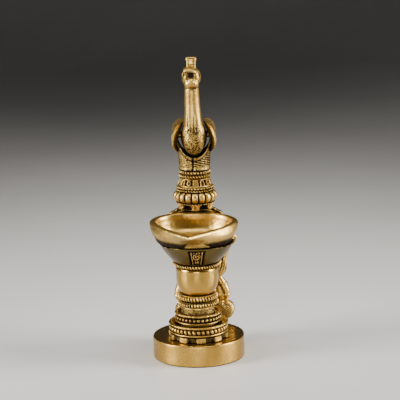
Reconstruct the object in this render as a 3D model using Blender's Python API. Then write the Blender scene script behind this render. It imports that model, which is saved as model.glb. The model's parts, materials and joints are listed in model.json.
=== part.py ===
"""A standing brass oil lamp (samai), as separate cast and turned pieces.

A leaf-shaped oil bowl stands on a turned stem. Behind the stem a seated figure leans on an arched
back plate, and the plate carries a column with a long-necked bird on top.

Metres, +Z up. The origin is the centre of the base's underside, and the spout points to -Y.
"""

from math import cos, pi, radians, sin, sqrt

import bmesh
import bpy
import numpy as np
from mathutils import Matrix

# Fits, all round a piece.
FIT = 0.0003

# Base disc.
BASE_R = 0.027
BASE_H = 0.0128
BASE_EDGE = 0.0012

# Stem, bottom to top. Its axis is ahead of the base's, which leaves room for the figure.
STEM_Y = -0.005
FOOT_R = 0.0156
FOOT_BLOCK_R = 0.0180
FOOT_H = 0.0031
FOOT_BLOCKS = 10
TIER_LOW_R = 0.0176
TIER_LOW_H = 0.0060
TIER_UP_R = 0.0139
TIER_UP_H = 0.0075
TIER_RIM = 0.0020
DISH_DEPTH = 0.0017
NECK_R = 0.0096
NECK_H = 0.0054
RING_LOW_R = 0.0123
RING_LOW_H = 0.0031
RING_UP_R = 0.0120
RING_UP_H = 0.0036
RIDGES = 28
RIDGE_DEPTH = 0.0007
POT_R = 0.0124
POT_FOOT_R = 0.0096
POT_H = 0.0161
ROPE_R = 0.0145
ROPE_H = 0.0025

# Cup under the bowl, with a niche panel let into its front.
CUP_FOOT_R = 0.0135
CUP_R = 0.0220
CUP_H = 0.0115
CUP_WALL = 0.0032
CUP_FLOOR = 0.0030
PANEL_TOP_W = 0.0066
PANEL_FOOT_W = 0.0042
PANEL_T = 0.0013
SLOT_W = 0.0013

# Oil bowl: half width, reach to the back and reach to the spout's tip, from the stem's axis.
BOWL_HALF_W = 0.0252
BOWL_BACK = 0.0185
BOWL_SPOUT = 0.0342
BOWL_H = 0.0141
BOWL_WALL = 0.0026
BOWL_SINK = 0.0018
BOWL_TURN = radians(-5.0)
BOWL_DIP = 0.055
BOSS_R = 0.0052

# Tie screw up through the base and the stem into the bowl's boss.
TIE_R = 0.0020
TIE_HEAD_R = 0.0035
TIE_HEAD_H = 0.0024
TIE_GRIP = 0.0055

# Arched back plate behind the stem.
PLATE_GAP = 0.0009
PLATE_FRONT_Y = STEM_Y + max(BOWL_BACK, FOOT_BLOCK_R, TIER_LOW_R) + PLATE_GAP
PLATE_T = 0.0036
PLATE_RISE = 0.0013
PILLAR_HALF_W = 0.0075
ARCH_HALF_W = 0.0178
SHOULDER_HALF_W = 0.0118
RIB_R = 0.0046
RIB_H = 0.0252
ARCH_SHARE = 0.56
ARCH_SPRING = 0.0020

# Column on the plate. Its axis is that of the plate's round rib.
COLUMN_Y = PLATE_FRONT_Y + RIB_R
STUD_R = 0.0025
STUD_DEPTH = 0.0130
STUD_RISE = 0.0150
PETAL_R = 0.0118
PETAL_FOOT_R = 0.0082
PETAL_H = 0.0038
PETALS = 12
AMLA_R = 0.0134
AMLA_H = 0.0062
AMLA_RIBS = 18
BAND_LOW_R = 0.0112
BAND_LOW_H = 0.0028
DRUM_FOOT_R = 0.0102
DRUM_TOP_R = 0.0089
DRUM_H = 0.0046
NICHES = 10
NICHE_DEPTH = 0.0008
BAND_UP_R = 0.0094
BAND_UP_H = 0.0044

# Cradle of two leaves, and the bird that sits in it.
CRADLE_FOOT_R = 0.0090
CRADLE_TOP_R = 0.0100
CRADLE_H = 0.0160
CRADLE_SEAM = 0.0005
BODY_HALF_W = 0.0077
BODY_HALF_L = 0.0125
BODY_HALF_H = 0.0105
BODY_LOW = 0.0083
BODY_BACK = 0.0020
DOWEL_R = 0.0018
DOWEL_GRIP = 0.0040
NECK_LEAN = 0.0065
NECK_HALF_W = 0.0040
NECK_STEPS = 10
HEAD_RISE = 0.0370
HEAD_HALF_W = 0.0056
HEAD_HALF_H = 0.0060
HEAD_HALF_L = 0.0068
CREST_HALF_W = 0.0031
CREST_H = 0.0052
CREST_T = 0.0030
WING_SPREAD = 0.0130
WING_T = 0.0036
WING_HALF_L = 0.0130
WING_STATIONS = 10

# Seated figure behind the plate. Its heights are above the seat.
FIGURE_X = 0.0027
SEAT_HALF_W = 0.0185
SHOULDER_RISE = 0.0299
FACE_RISE = 0.0379
BUD_RISE = 0.0531
RIVET_R = 0.0013
RIVET_HEAD_R = 0.0024
RIVET_HEAD_H = 0.0011
RIVET_GRIP = 0.0030
SCREW_R = 0.0013
SCREW_HEAD_R = 0.0025
SCREW_HEAD_H = 0.0018
SCREW_GRIP = 0.0045
SCREW_SPREAD = 0.0055
SCREW_BACK = 0.0036

# Facets round a turned piece, and round a small one.
ROUND = 40
SMALL = 12


# ---------------------------------------------------------------- materials and mesh helpers


def brass(name, colour, roughness):
    """A brass finish: metallic, with its own colour and gloss."""
    material = bpy.data.materials.new(name)
    material.use_nodes = True
    shader = material.node_tree.nodes["Principled BSDF"]
    shader.inputs["Base Color"].default_value = (*colour, 1)
    shader.inputs["Metallic"].default_value = 1.0
    shader.inputs["Roughness"].default_value = roughness
    material.diffuse_color = (*colour, 1)
    return material


def circle(radius, z, count, wave=0.0, waves=0):
    """A ring of points whose radius swells and sinks by wave, so many times round."""
    angles = np.arange(count) * 2 * pi / count
    radii = radius + wave * np.cos(waves * angles)
    return np.column_stack([radii * np.sin(angles), -radii * np.cos(angles), np.full(count, z)])


def skin(name, rings, material=None, endless=False):
    """A closed solid skinned over rings of points. A ring of one point closes an end."""
    bm = bmesh.new()
    rows = [[bm.verts.new(point) for point in ring] for ring in rings]
    following = rows[1:] + rows[:1] if endless else rows[1:]
    for row, after in zip(rows, following):
        count = max(len(row), len(after))
        for i in range(count):
            j = (i + 1) % count
            corners = [row[i % len(row)], row[j % len(row)], after[j % len(after)], after[i % len(after)]]
            bm.faces.new(list(dict.fromkeys(corners)))
    bmesh.ops.recalc_face_normals(bm, faces=bm.faces)
    mesh = bpy.data.meshes.new(name)
    bm.to_mesh(mesh)
    bm.free()
    mesh.shade_smooth()
    mesh.set_sharp_from_angle(angle=radians(35))
    if material:
        mesh.materials.append(material)
    piece = bpy.data.objects.new(name, mesh)
    bpy.context.scene.collection.objects.link(piece)
    return piece


def turned(name, profile, material=None, count=ROUND, waves=0, at=(0, 0, 0)):
    """A solid of revolution. A profile point is (radius, height) or (radius, height, wave)."""
    rings = []
    for radius, z, *wave in profile:
        on_axis = radius < 1e-9
        ring = np.array([[0, 0, z]]) if on_axis else circle(radius, z, count, *wave[:1], waves=waves)
        rings.append(ring)
    endless = profile[0][0] > 1e-9 and profile[-1][0] > 1e-9
    piece = skin(name, rings, material, endless)
    piece.location = at
    return piece


def ball(name, centre, semi, rings=10, count=16, tilt=0.0):
    """An ellipsoid, tilted about the X axis."""
    steps = [-pi / 2 + pi * i / rings for i in range(rings + 1)]
    profile = [(max(cos(a), 0) if 0 < i < rings else 0, sin(a)) for i, a in enumerate(steps)]
    piece = turned(name, profile, count=count)
    turn = Matrix.Rotation(tilt, 4, "X") @ Matrix.Diagonal((*semi, 1))
    piece.data.transform(Matrix.Translation(centre) @ turn)
    return piece


def tube(name, path, semis, count=8):
    """A solid carried along a path, with an ellipse (half width, half height) at each point."""
    path = np.array(path, float)
    ahead = np.gradient(path, axis=0)
    ahead /= np.linalg.norm(ahead, axis=1)[:, None]
    side = np.array([1.0, 0.0, 0.0]) if abs(ahead[:, 0]).max() < 0.9 else np.array([0.0, 0.0, 1.0])
    rings = [path[:1]]
    for point, along, (wide, high) in zip(path, ahead, semis):
        across = side - along * (side @ along)
        across /= np.linalg.norm(across)
        up = np.cross(along, across)
        angles = np.arange(count)[:, None] * 2 * pi / count
        rings.append(point + across * wide * np.cos(angles) + up * high * np.sin(angles))
    rings.append(path[-1:])
    rings[0] = rings[0] - ahead[:1] * min(semis[0]) * 0.4
    rings[-1] = rings[-1] + ahead[-1:] * min(semis[-1]) * 0.4
    return skin(name, rings)


def smooth_path(knots, count):
    """Points on a Catmull-Rom curve through the knots."""
    knots = np.array(knots, float)
    padded = np.vstack([2 * knots[0] - knots[1], knots, 2 * knots[-1] - knots[-2]])
    spots = np.linspace(0, len(knots) - 1, count)
    index = np.minimum(spots.astype(int), len(knots) - 2)
    t = (spots - index)[:, None]
    a, b, c, d = (padded[index + k] for k in range(4))
    return b + 0.5 * t * (c - a + t * (2 * a - 5 * b + 4 * c - d + t * (3 * (b - c) + d - a)))


def block(name, low, high):
    """A box between two corners."""
    bm = bmesh.new()
    bmesh.ops.create_cube(bm, size=1)
    size = np.subtract(high, low)
    middle = np.add(high, low) / 2
    bmesh.ops.transform(bm, verts=bm.verts, matrix=Matrix.Translation(middle) @ Matrix.Diagonal((*size, 1)))
    mesh = bpy.data.meshes.new(name)
    bm.to_mesh(mesh)
    bm.free()
    piece = bpy.data.objects.new(name, mesh)
    bpy.context.scene.collection.objects.link(piece)
    return piece


def helper(piece):
    """A cutter or a building shape, which isn't a piece of the lamp."""
    piece.hide_render = True
    piece.hide_set(True)
    piece.display_type = "WIRE"
    return piece


def combine(piece, others, operation):
    """Adds or cuts other shapes, as live Booleans."""
    for other in others:
        modifier = piece.modifiers.new(operation.lower() + "_" + other.name, "BOOLEAN")
        modifier.operation = operation
        modifier.solver = "EXACT"
        modifier.object = helper(other)
    return piece


def hole(name, radius, low, high, at, head_radius=0.0, head_height=0.0):
    """A cutter for a screw's hole, with a wider recess for its head at the low end."""
    profile = [(0, low), (radius, low), (radius, high), (0, high)]
    if head_radius:
        step = low + head_height
        profile[1:2] = [(head_radius, low), (head_radius, step), (radius, step)]
    return turned(name, profile, count=SMALL, at=at)


# ---------------------------------------------------------------- levels of the two stacks

FOOT_Z = BASE_H + FIT
TIER_LOW_Z = FOOT_Z + FOOT_H + FIT
TIER_UP_Z = TIER_LOW_Z + TIER_LOW_H - DISH_DEPTH + FIT
RING_LOW_Z = TIER_UP_Z + TIER_UP_H - DISH_DEPTH + FIT
RING_UP_Z = RING_LOW_Z + NECK_H + RING_LOW_H + FIT
POT_Z = RING_UP_Z + RING_UP_H + FIT
ROPE_Z = POT_Z + POT_H + FIT
CUP_Z = ROPE_Z + ROPE_H + FIT
CUP_TOP = CUP_Z + CUP_H
BOWL_Z = CUP_TOP - BOWL_SINK
BOWL_TOP = BOWL_Z + BOWL_H
BOSS_Z = CUP_Z + CUP_FLOOR + FIT
BORE_R = TIE_R + FIT
TIE_TOP = CUP_Z + CUP_FLOOR + TIE_GRIP

SEAT_Z = BASE_H + FIT
SHOULDER_Z = SEAT_Z + SHOULDER_RISE
FACE_Z = SEAT_Z + FACE_RISE
BUD_Z = SEAT_Z + BUD_RISE
PLATE_TOP = BOWL_TOP + BOWL_DIP * BOWL_BACK + PLATE_RISE
PLATE_BACK_Y = PLATE_FRONT_Y + PLATE_T
ARCH_Z = PLATE_TOP * ARCH_SHARE
RIB_Z = PLATE_TOP - RIB_H

PETAL_Z = PLATE_TOP + FIT
AMLA_Z = PETAL_Z + PETAL_H + FIT
BAND_LOW_Z = AMLA_Z + AMLA_H + FIT
DRUM_Z = BAND_LOW_Z + BAND_LOW_H + FIT
BAND_UP_Z = DRUM_Z + DRUM_H + FIT
CRADLE_Z = BAND_UP_Z + BAND_UP_H + FIT
STUD_BORE_R = STUD_R + FIT
STUD_TOP = PLATE_TOP + STUD_RISE
BODY_Z = CRADLE_Z + BODY_LOW + BODY_HALF_H
BODY_Y = COLUMN_Y + BODY_BACK
DOWEL_TOP = BODY_Z - BODY_HALF_H + DOWEL_GRIP
NECK_FOOT_Z = BODY_Z + BODY_HALF_H * 0.55
HEAD_Z = BODY_Z + HEAD_RISE
HEAD_Y = COLUMN_Y - NECK_LEAN
STEM = (0, STEM_Y, 0)
COLUMN = (0, COLUMN_Y, 0)


# ---------------------------------------------------------------- base and stem


def make_base(material):
    edge = BASE_EDGE
    bend = [edge * (1 - cos(i * pi / 6)) for i in range(4)]
    rise = [edge * sin(i * pi / 6) for i in range(4)]
    lower = [(BASE_R - edge + r, edge - edge * sqrt(1 - (r / edge) ** 2)) for r in rise]
    upper = [(BASE_R - b, BASE_H - edge + r) for b, r in zip(bend, rise)]
    base = turned("base_disc", [(0, 0), *lower, *upper[1:], (0, BASE_H)], material)
    recess = TIE_HEAD_H + FIT
    cutters = [hole("tie_hole", BORE_R, -recess, BASE_H + recess, STEM, TIE_HEAD_R + FIT, 2 * recess)]
    deep = SCREW_HEAD_H + FIT
    wide = SCREW_HEAD_R + FIT
    for side, place in figure_screw_places():
        cutters.append(hole("base_hole_" + side, SCREW_R + FIT, -deep, BASE_H + deep, place, wide, 2 * deep))
    return combine(base, cutters, "DIFFERENCE")


def make_foot(material):
    """A ring of square blocks round a plain hub."""
    count = FOOT_BLOCKS * 4
    angles = np.arange(count) * 2 * pi / count
    on_block = np.arange(count) % 4 < 2
    radii = np.where(on_block, FOOT_BLOCK_R, FOOT_R)
    rings = []
    for radius, z in ((None, FOOT_Z), (None, FOOT_Z + FOOT_H), (BORE_R, FOOT_Z + FOOT_H), (BORE_R, FOOT_Z)):
        reach = radii if radius is None else np.full(count, radius)
        rings.append(np.column_stack([reach * np.sin(angles), -reach * np.cos(angles), np.full(count, z)]))
    foot = skin("pedestal_foot", rings, material, endless=True)
    foot.location = STEM
    return foot


def cushion(radius, low, high, steps=4):
    """The bulging side of a tier or a ring, from its lower edge to its upper one."""
    bulge = (high - low) * 0.35
    points = []
    for i in range(steps + 1):
        t = -1 + 2 * i / steps
        points.append((radius - bulge * t * t * abs(t), (low + high) / 2 + (high - low) / 2 * t))
    return points


def make_tier(name, material, radius, low, height, hub_drop=0.0, hub_radius=0.0):
    """A tier with a bulging side, an upturned rim and a shallow dish on top."""
    high = low + height
    profile = [(BORE_R, low)]
    if hub_drop:
        profile += [(hub_radius, low), (hub_radius, low + hub_drop)]
    profile += cushion(radius, low + hub_drop, high)
    profile += [
        (radius - TIER_RIM, high - 0.0004),
        (radius - TIER_RIM - 0.0006, high - DISH_DEPTH),
        (BORE_R, high - DISH_DEPTH),
    ]
    return turned(name, profile, material, at=STEM)


def make_ridged_ring(name, material, radius, low, height, neck_radius=0.0, neck_height=0.0):
    """A flange with ridges round it like a gear, on a plain neck."""
    profile = [(BORE_R, low)]
    if neck_height:
        profile += [(neck_radius + 0.0006, low), (neck_radius, low + neck_height)]
    foot = low + neck_height
    high = foot + height
    profile += [
        (radius - 0.0016, foot),
        (radius - RIDGE_DEPTH, foot + height * 0.25, RIDGE_DEPTH),
        (radius - RIDGE_DEPTH, foot + height * 0.6, RIDGE_DEPTH),
        (radius - 0.0022, high),
        (BORE_R, high),
    ]
    return turned(name, profile, material, count=RIDGES * 2, waves=RIDGES, at=STEM)


def make_pot(material):
    """A smooth cup-like length of stem: upright, then drawn in to its foot by an arc."""
    fall = POT_H * 0.45
    profile = [(BORE_R, POT_Z)]
    for i in range(6):
        t = sin(i * pi / 10)
        profile.append((POT_FOOT_R + (POT_R - POT_FOOT_R) * t, POT_Z + fall * (1 - cos(i * pi / 10))))
    profile += [(POT_R, POT_Z + POT_H - 0.0006), (POT_R - 0.0006, POT_Z + POT_H), (BORE_R, POT_Z + POT_H)]
    return turned("pot_stem", profile, material, at=STEM)


def make_rope(material):
    profile = [(BORE_R, ROPE_Z)]
    for i in range(4):
        a = -pi / 2 + pi * i / 3
        radius = ROPE_R - ROPE_H / 2 - RIDGE_DEPTH * 0.5 + ROPE_H / 2 * cos(a)
        profile.append((radius, ROPE_Z + ROPE_H / 2 * (1 + sin(a)), RIDGE_DEPTH * 0.5 * cos(a)))
    profile.append((BORE_R, ROPE_Z + ROPE_H))
    return turned("rope_ring", profile, material, count=RIDGES * 2, waves=RIDGES, at=STEM)


def cup_radius(z):
    """The cup's outer radius at a height: a cone that swells a little."""
    t = (z - CUP_Z) / CUP_H
    return CUP_FOOT_R + (CUP_R - CUP_FOOT_R) * (t + 0.35 * t * (1 - t))


def panel_ring(half_widths, depth_out, depth_in, low, high):
    """Corners of a slab that lies on the cup's front between two heights, as two rings of four."""
    rings = []
    for z, half in ((low, half_widths[0]), (high, half_widths[1])):
        out = -cup_radius(z) - depth_out
        back = -cup_radius(z) + depth_in
        rings.append(np.array([(-half, out, z), (half, out, z), (half, back, z), (-half, back, z)]))
    return rings


def capped(name, rings, material=None):
    """A solid through rings of corners, with its two ends filled."""
    middles = [ring.mean(axis=0, keepdims=True) for ring in (rings[0], rings[-1])]
    return skin(name, [middles[0], *rings, middles[1]], material)


def make_cup(material):
    levels = [CUP_Z + CUP_H * i / 4 for i in range(5)]
    floor = CUP_Z + CUP_FLOOR
    profile = [(BORE_R, CUP_Z)]
    profile += [(cup_radius(z), z) for z in levels]
    profile += [(cup_radius(CUP_TOP) - CUP_WALL * 0.6, CUP_TOP)]
    inside = [z for z in reversed(levels[:-1]) if z > floor + 0.001]
    profile += [(cup_radius(z) - CUP_WALL, z) for z in inside]
    profile += [(cup_radius(floor) - CUP_WALL - 0.002, floor), (BORE_R, floor)]
    cup = turned("lotus_cup", profile, material, count=ROUND, at=STEM)
    wide = [PANEL_FOOT_W / 2 + SLOT_W + FIT, PANEL_TOP_W / 2 + SLOT_W + FIT]
    niche = capped("niche_cut", panel_ring(wide, 0.003, PANEL_T + FIT, CUP_Z + 0.0004, CUP_TOP - 0.0012))
    niche.location = STEM
    flat_y = PLATE_FRONT_Y - FIT
    back = block("cup_flat", (-CUP_R, flat_y, CUP_Z - 0.001), (CUP_R, flat_y + CUP_R, CUP_TOP + 0.001))
    return combine(cup, [niche, back], "DIFFERENCE")


def make_panel(material):
    """The niche panel, between two upright slots."""
    half = [PANEL_FOOT_W / 2, PANEL_TOP_W / 2]
    rings = panel_ring(half, 0.0003, PANEL_T, CUP_Z + 0.0009, CUP_TOP - 0.0018)
    panel = capped("niche_panel", rings, material)
    panel.location = STEM
    return panel


def leaf(half_width, back, spout, z, point, dip=0.0, count=ROUND):
    """One level of the bowl. It is half an ellipse behind, and two bowed sides that meet at the spout.

    point is 1 for a sharp tip and 0 for a round one."""
    quarter = count // 4
    angles = np.arange(count) * 2 * pi / count
    behind = np.cos(angles) <= 0
    y = np.where(behind, -back * np.cos(angles), 0.0)
    x = np.where(behind, half_width * np.sin(angles), 0.0)
    share = np.minimum(np.arange(count), count - np.arange(count)) / quarter
    ahead = spout * np.cos(np.minimum(share, 1) * pi / 2) ** (1 - 0.35 * point)
    power = 2 - 0.45 * point
    reach = np.clip(1 - (ahead / spout) ** power, 0, 1) ** (0.5 + 0.5 * point)
    x = np.where(behind, x, np.sign(np.sin(angles)) * half_width * reach)
    y = np.where(behind, y, -ahead)
    turn = np.array([[cos(BOWL_TURN), sin(BOWL_TURN)], [-sin(BOWL_TURN), cos(BOWL_TURN)]])
    flat = np.column_stack([x, y]) @ turn
    return np.column_stack([flat, z + dip * flat[:, 1]])


def make_bowl(material):
    """Floor, inner wall, rolled lip, hull, and a threaded boss under it."""
    wall = BOWL_WALL
    # height share, inset of the side, inset at the back, inset of the spout, point, dip share
    inner = [
        (0.16, 0.0130, 0.0095, 0.0210, 0.0, 0.0),
        (0.22, 0.0075, 0.0055, 0.0135, 0.3, 0.1),
        (0.40, 0.0032, 0.0020, 0.0075, 0.7, 0.4),
        (0.70, 0.0011, 0.0005, 0.0035, 0.9, 0.8),
        (0.93, 0.0003, 0.0000, 0.0014, 1.0, 1.0),
    ]
    outer = [
        (1.00, 0.0011, 0.0009, 0.0016, 1.0, 1.0),
        (0.90, 0.0000, 0.0000, 0.0000, 1.0, 1.0),
        (0.74, 0.0002, 0.0002, 0.0008, 1.0, 0.9),
        (0.64, 0.0012, 0.0008, 0.0036, 1.0, 0.8),
        (0.46, 0.0030, 0.0020, 0.0075, 0.85, 0.5),
        (0.27, 0.0046, 0.0030, 0.0108, 0.6, 0.2),
        (0.165, 0.0058, 0.0036, 0.0130, 0.3, 0.0),
        (0.12, 0.0078, 0.0050, 0.0160, 0.1, 0.0),
        (0.00, 0.0145, 0.0095, 0.0235, 0.0, 0.0),
    ]
    rings = [np.array([[0, 0, BOWL_Z + BOWL_H * 0.15]])]
    for inset, levels in ((wall, inner), (0.0, outer)):
        for share, side, back, tip, point, dip in levels:
            rings.append(
                leaf(
                    BOWL_HALF_W - inset - side,
                    BOWL_BACK - inset - back,
                    BOWL_SPOUT - inset * 1.2 - tip,
                    BOWL_Z + BOWL_H * share,
                    point,
                    BOWL_DIP * dip,
                )
            )
    boss = ((BOSS_R, BOWL_Z - FIT), (BOSS_R, BOSS_Z), (BORE_R, BOSS_Z), (BORE_R, TIE_TOP + FIT))
    rings += [circle(radius, z, ROUND) for radius, z in boss]
    rings.append(np.array([[0, 0, TIE_TOP + FIT]]))
    bowl = skin("oil_bowl", rings, material)
    bowl.location = STEM
    return bowl


def make_tie_screw(material):
    profile = [(0, FIT), (TIE_HEAD_R, FIT), (TIE_HEAD_R, TIE_HEAD_H), (TIE_R, TIE_HEAD_H)]
    profile += [(TIE_R, TIE_TOP), (0, TIE_TOP)]
    screw = turned("tie_screw", profile, material, count=SMALL, at=STEM)
    slot = block("tie_slot", (-0.006, -0.0005, -0.001), (0.006, 0.0005, FIT + 0.0009))
    slot.location = STEM
    return combine(screw, [slot], "DIFFERENCE")


# ---------------------------------------------------------------- back plate and figure


def plate_outline():
    """Half of the plate's outline, bottom to top: (half width, height)."""
    swell = []
    low, high = ARCH_Z, PLATE_TOP - 0.0026
    for i in range(9):
        t = i / 8
        width = PILLAR_HALF_W + (ARCH_HALF_W - PILLAR_HALF_W) * sin(min(t / 0.55, 1) * pi / 2)
        past = max(t - 0.55, 0) / 0.45
        width -= (ARCH_HALF_W - SHOULDER_HALF_W - 0.0038) * past**2
        swell.append((width, low + (high - low) * t))
    lower = [(PILLAR_HALF_W, SEAT_Z), (PILLAR_HALF_W, ARCH_Z - ARCH_SPRING)]
    return lower + swell + [(SHOULDER_HALF_W + 0.0012, PLATE_TOP - 0.0007), (SHOULDER_HALF_W, PLATE_TOP)]


def make_plate(material):
    """A pillar that widens into an arch, with a round rib behind its top for the column's stud."""
    rings = []
    for half, z in plate_outline():
        front, back = PLATE_FRONT_Y, PLATE_BACK_Y
        rings.append(np.array([(-half, front, z), (half, front, z), (half, back, z), (-half, back, z)]))
    plate = capped("back_plate", rings, material)
    rib = [(0, RIB_Z), (RIB_R * 0.6, RIB_Z), (RIB_R, RIB_Z + 0.004), (RIB_R, PLATE_TOP), (0, PLATE_TOP)]
    combine(plate, [turned("plate_rib", rib, count=24, at=COLUMN)], "UNION")
    bore = hole("stud_bore", STUD_BORE_R, PLATE_TOP - STUD_DEPTH, PLATE_TOP + 0.002, COLUMN)
    cutters = [bore]
    for name, z in rivet_places():
        cutter = hole("plate_hole_" + name, RIVET_R + FIT, -0.0005, PLATE_T + 0.001, (0, 0, 0))
        turn_to_rear(cutter, (FIGURE_X, PLATE_FRONT_Y, z))
        sink = hole("plate_sink_" + name, RIVET_HEAD_R + FIT, -0.0005, RIVET_HEAD_H + FIT, (0, 0, 0))
        turn_to_rear(sink, (FIGURE_X, PLATE_FRONT_Y, z))
        cutters += [cutter, sink]
    return combine(plate, cutters, "DIFFERENCE")


def turn_to_rear(piece, place):
    """Lays a piece turned about Z along +Y, with its foot at a place."""
    piece.data.transform(Matrix.Translation(place) @ Matrix.Rotation(radians(-90), 4, "X"))


def rivet_places():
    return (("lower", SEAT_Z + 0.0132), ("upper", SHOULDER_Z - 0.005))


def figure_screw_places():
    y = PLATE_BACK_Y + SCREW_BACK
    return (("left", (FIGURE_X - SCREW_SPREAD, y, 0)), ("right", (FIGURE_X + SCREW_SPREAD, y, 0)))


def make_rivets(material):
    length = PLATE_T + RIVET_GRIP
    profile = [(0, FIT), (RIVET_HEAD_R, FIT), (RIVET_HEAD_R, RIVET_HEAD_H), (RIVET_R, RIVET_HEAD_H)]
    profile += [(RIVET_R, length), (0, length)]
    for name, z in rivet_places():
        rivet = turned("plate_rivet_" + name, profile, material, count=SMALL)
        turn_to_rear(rivet, (FIGURE_X, PLATE_FRONT_Y, z))


def make_figure_screws(material):
    top = SEAT_Z + SCREW_GRIP
    profile = [(0, FIT), (SCREW_HEAD_R, FIT), (SCREW_HEAD_R, SCREW_HEAD_H), (SCREW_R, SCREW_HEAD_H)]
    profile += [(SCREW_R, top), (0, top)]
    for side, place in figure_screw_places():
        turned("figure_screw_" + side, profile, material, count=SMALL, at=place)


def figure_limbs(back_y):
    """The figure's parts, each a closed shape that runs into its neighbours."""
    x = FIGURE_X
    seat_z = SEAT_Z
    span = np.linspace(-1, 1, 11)
    bend = span**2
    legs_y = back_y + 0.0048 - 0.0038 * bend
    legs = np.column_stack([x + SEAT_HALF_W * 0.9 * span, legs_y, seat_z + 0.0042 + 0.0022 * bend])
    fade = np.sqrt(np.clip(1.02 - span**8, 0.02, 1))
    semis = [(0.0056 * f * (1 + 0.12 * b), 0.0046 * f) for f, b in zip(fade, bend)]
    shapes = [tube("figure_legs", legs, semis, count=12)]
    for side, name in ((-1, "left"), (1, "right")):
        shoulder = (x + side * 0.0085, back_y + 0.0036, SHOULDER_Z - 0.0015)
        elbow = (x + side * 0.0134, back_y + 0.0026, SHOULDER_Z - 0.0120)
        hand = (x + side * 0.0090, back_y + 0.0070, seat_z + 0.0130)
        arm = smooth_path([shoulder, elbow, hand], 6)
        shapes.append(tube("figure_arm_" + name, arm, [(0.0027, 0.0027)] * 6))
        hip = (x + side * 0.0075, back_y + 0.0052, seat_z + 0.0098)
        knee = (x + side * SEAT_HALF_W * 0.80, back_y + 0.0030, seat_z + 0.0082)
        thigh = smooth_path([hip, knee], 3)
        shapes.append(tube("figure_thigh_" + name, thigh, [(0.0054, 0.0044)] * 3))
        lift = smooth_path(
            [
                (x + side * 0.0075, back_y + 0.0044, SHOULDER_Z - 0.001),
                (x + side * 0.0120, back_y + 0.0030, FACE_Z + 0.0045),
                (x + side * 0.0176, back_y + 0.0034, BUD_Z - 0.003),
            ],
            6,
        )
        shapes.append(tube("figure_stalk_" + name, lift, [(0.0017, 0.0017)] * 6, count=7))
        bud = (x + side * 0.0178, back_y + 0.0034, BUD_Z)
        shapes.append(ball("figure_bud_" + name, bud, (0.0029, 0.0028, 0.0049), rings=6, count=8))
        ear = (x + side * 0.0100, back_y + 0.0024, FACE_Z - 0.0012)
        shapes.append(ball("figure_ear_" + name, ear, (0.0052, 0.0019, 0.0052), rings=6, count=10))
    face = (x, back_y + 0.0050, FACE_Z)
    shapes.append(ball("figure_head", face, (0.0070, 0.0046, 0.0074), rings=8, count=14))
    crown_z = FACE_Z + 0.0050
    crown = [(0, 0), (0.0050, 0), (0.0054, 0.0020), (0.0036, 0.0048), (0.0022, 0.0072), (0, 0.0092)]
    shapes.append(turned("figure_crown", crown, count=12, at=(x, back_y + 0.0055, crown_z)))
    trunk = smooth_path(
        [
            (x, back_y + 0.0072, FACE_Z - 0.001),
            (x, back_y + 0.0086, FACE_Z - 0.008),
            (x - 0.0012, back_y + 0.0082, FACE_Z - 0.014),
            (x - 0.0042, back_y + 0.0076, FACE_Z - 0.0165),
        ],
        7,
    )
    width = np.linspace(0.0026, 0.0015, 7)
    shapes.append(tube("figure_trunk", trunk, [(w, w) for w in width], count=8))
    return shapes


def make_figure(material):
    """One casting: a torso with legs, arms, head and two raised buds, holed for rivets and screws."""
    back_y = PLATE_BACK_Y + FIT
    middle = (FIGURE_X, back_y + 0.0036, (SHOULDER_Z + SEAT_Z) / 2 + 0.0029)
    torso = ball("seated_figure", middle, (0.0098, 0.0054, 0.0148), rings=10, count=16)
    torso.data.materials.append(material)
    combine(torso, figure_limbs(back_y), "UNION")
    reach = PILLAR_HALF_W + FIT
    wide = 2 * ARCH_HALF_W
    low = ARCH_Z - ARCH_SPRING - FIT
    pillar = block("figure_back", (-reach, 0, 0), (reach, back_y, ARCH_Z))
    arch = block("figure_arch_back", (-wide, 0, low), (wide, back_y, PLATE_TOP))
    room = RIB_R + FIT
    rib_room = [(0, RIB_Z - FIT), (room, RIB_Z - FIT), (room, PLATE_TOP), (0, PLATE_TOP)]
    rib = turned("figure_rib_room", rib_room, count=24, at=COLUMN)
    cutters = [pillar, arch, rib]
    for name, z in rivet_places():
        cutter = hole("figure_hole_" + name, RIVET_R + FIT, -0.001, PLATE_T + RIVET_GRIP + FIT, (0, 0, 0))
        turn_to_rear(cutter, (FIGURE_X, PLATE_FRONT_Y, z))
        cutters.append(cutter)
    for side, place in figure_screw_places():
        top = SEAT_Z + SCREW_GRIP + FIT
        cutters.append(hole("figure_screw_hole_" + side, SCREW_R + FIT, BASE_H / 2, top, place))
    seat = block("figure_seat_cut", (-2 * BASE_R, 0, 0), (2 * BASE_R, 2 * BASE_R, SEAT_Z))
    return combine(torso, [seat, *cutters], "DIFFERENCE")


# ---------------------------------------------------------------- column


def make_stud(material):
    low = PLATE_TOP - STUD_DEPTH + FIT
    edge = 0.0006
    profile = [(0, low), (STUD_R, low), (STUD_R, STUD_TOP - edge), (STUD_R - edge, STUD_TOP), (0, STUD_TOP)]
    return turned("column_stud", profile, material, count=SMALL, at=COLUMN)


def make_petal_cup(material):
    wave = 0.0005
    profile = [
        (STUD_BORE_R, PETAL_Z),
        (PETAL_FOOT_R, PETAL_Z),
        (PETAL_FOOT_R + (PETAL_R - PETAL_FOOT_R) * 0.55, PETAL_Z + PETAL_H * 0.3, wave),
        (PETAL_R - wave - 0.0003, PETAL_Z + PETAL_H * 0.65, wave),
        (PETAL_R - wave, PETAL_Z + PETAL_H * 0.9, wave),
        (PETAL_R - 0.0018, PETAL_Z + PETAL_H),
        (STUD_BORE_R, PETAL_Z + PETAL_H),
    ]
    return turned("petal_cup", profile, material, count=PETALS * 4, waves=PETALS, at=COLUMN)


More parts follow.
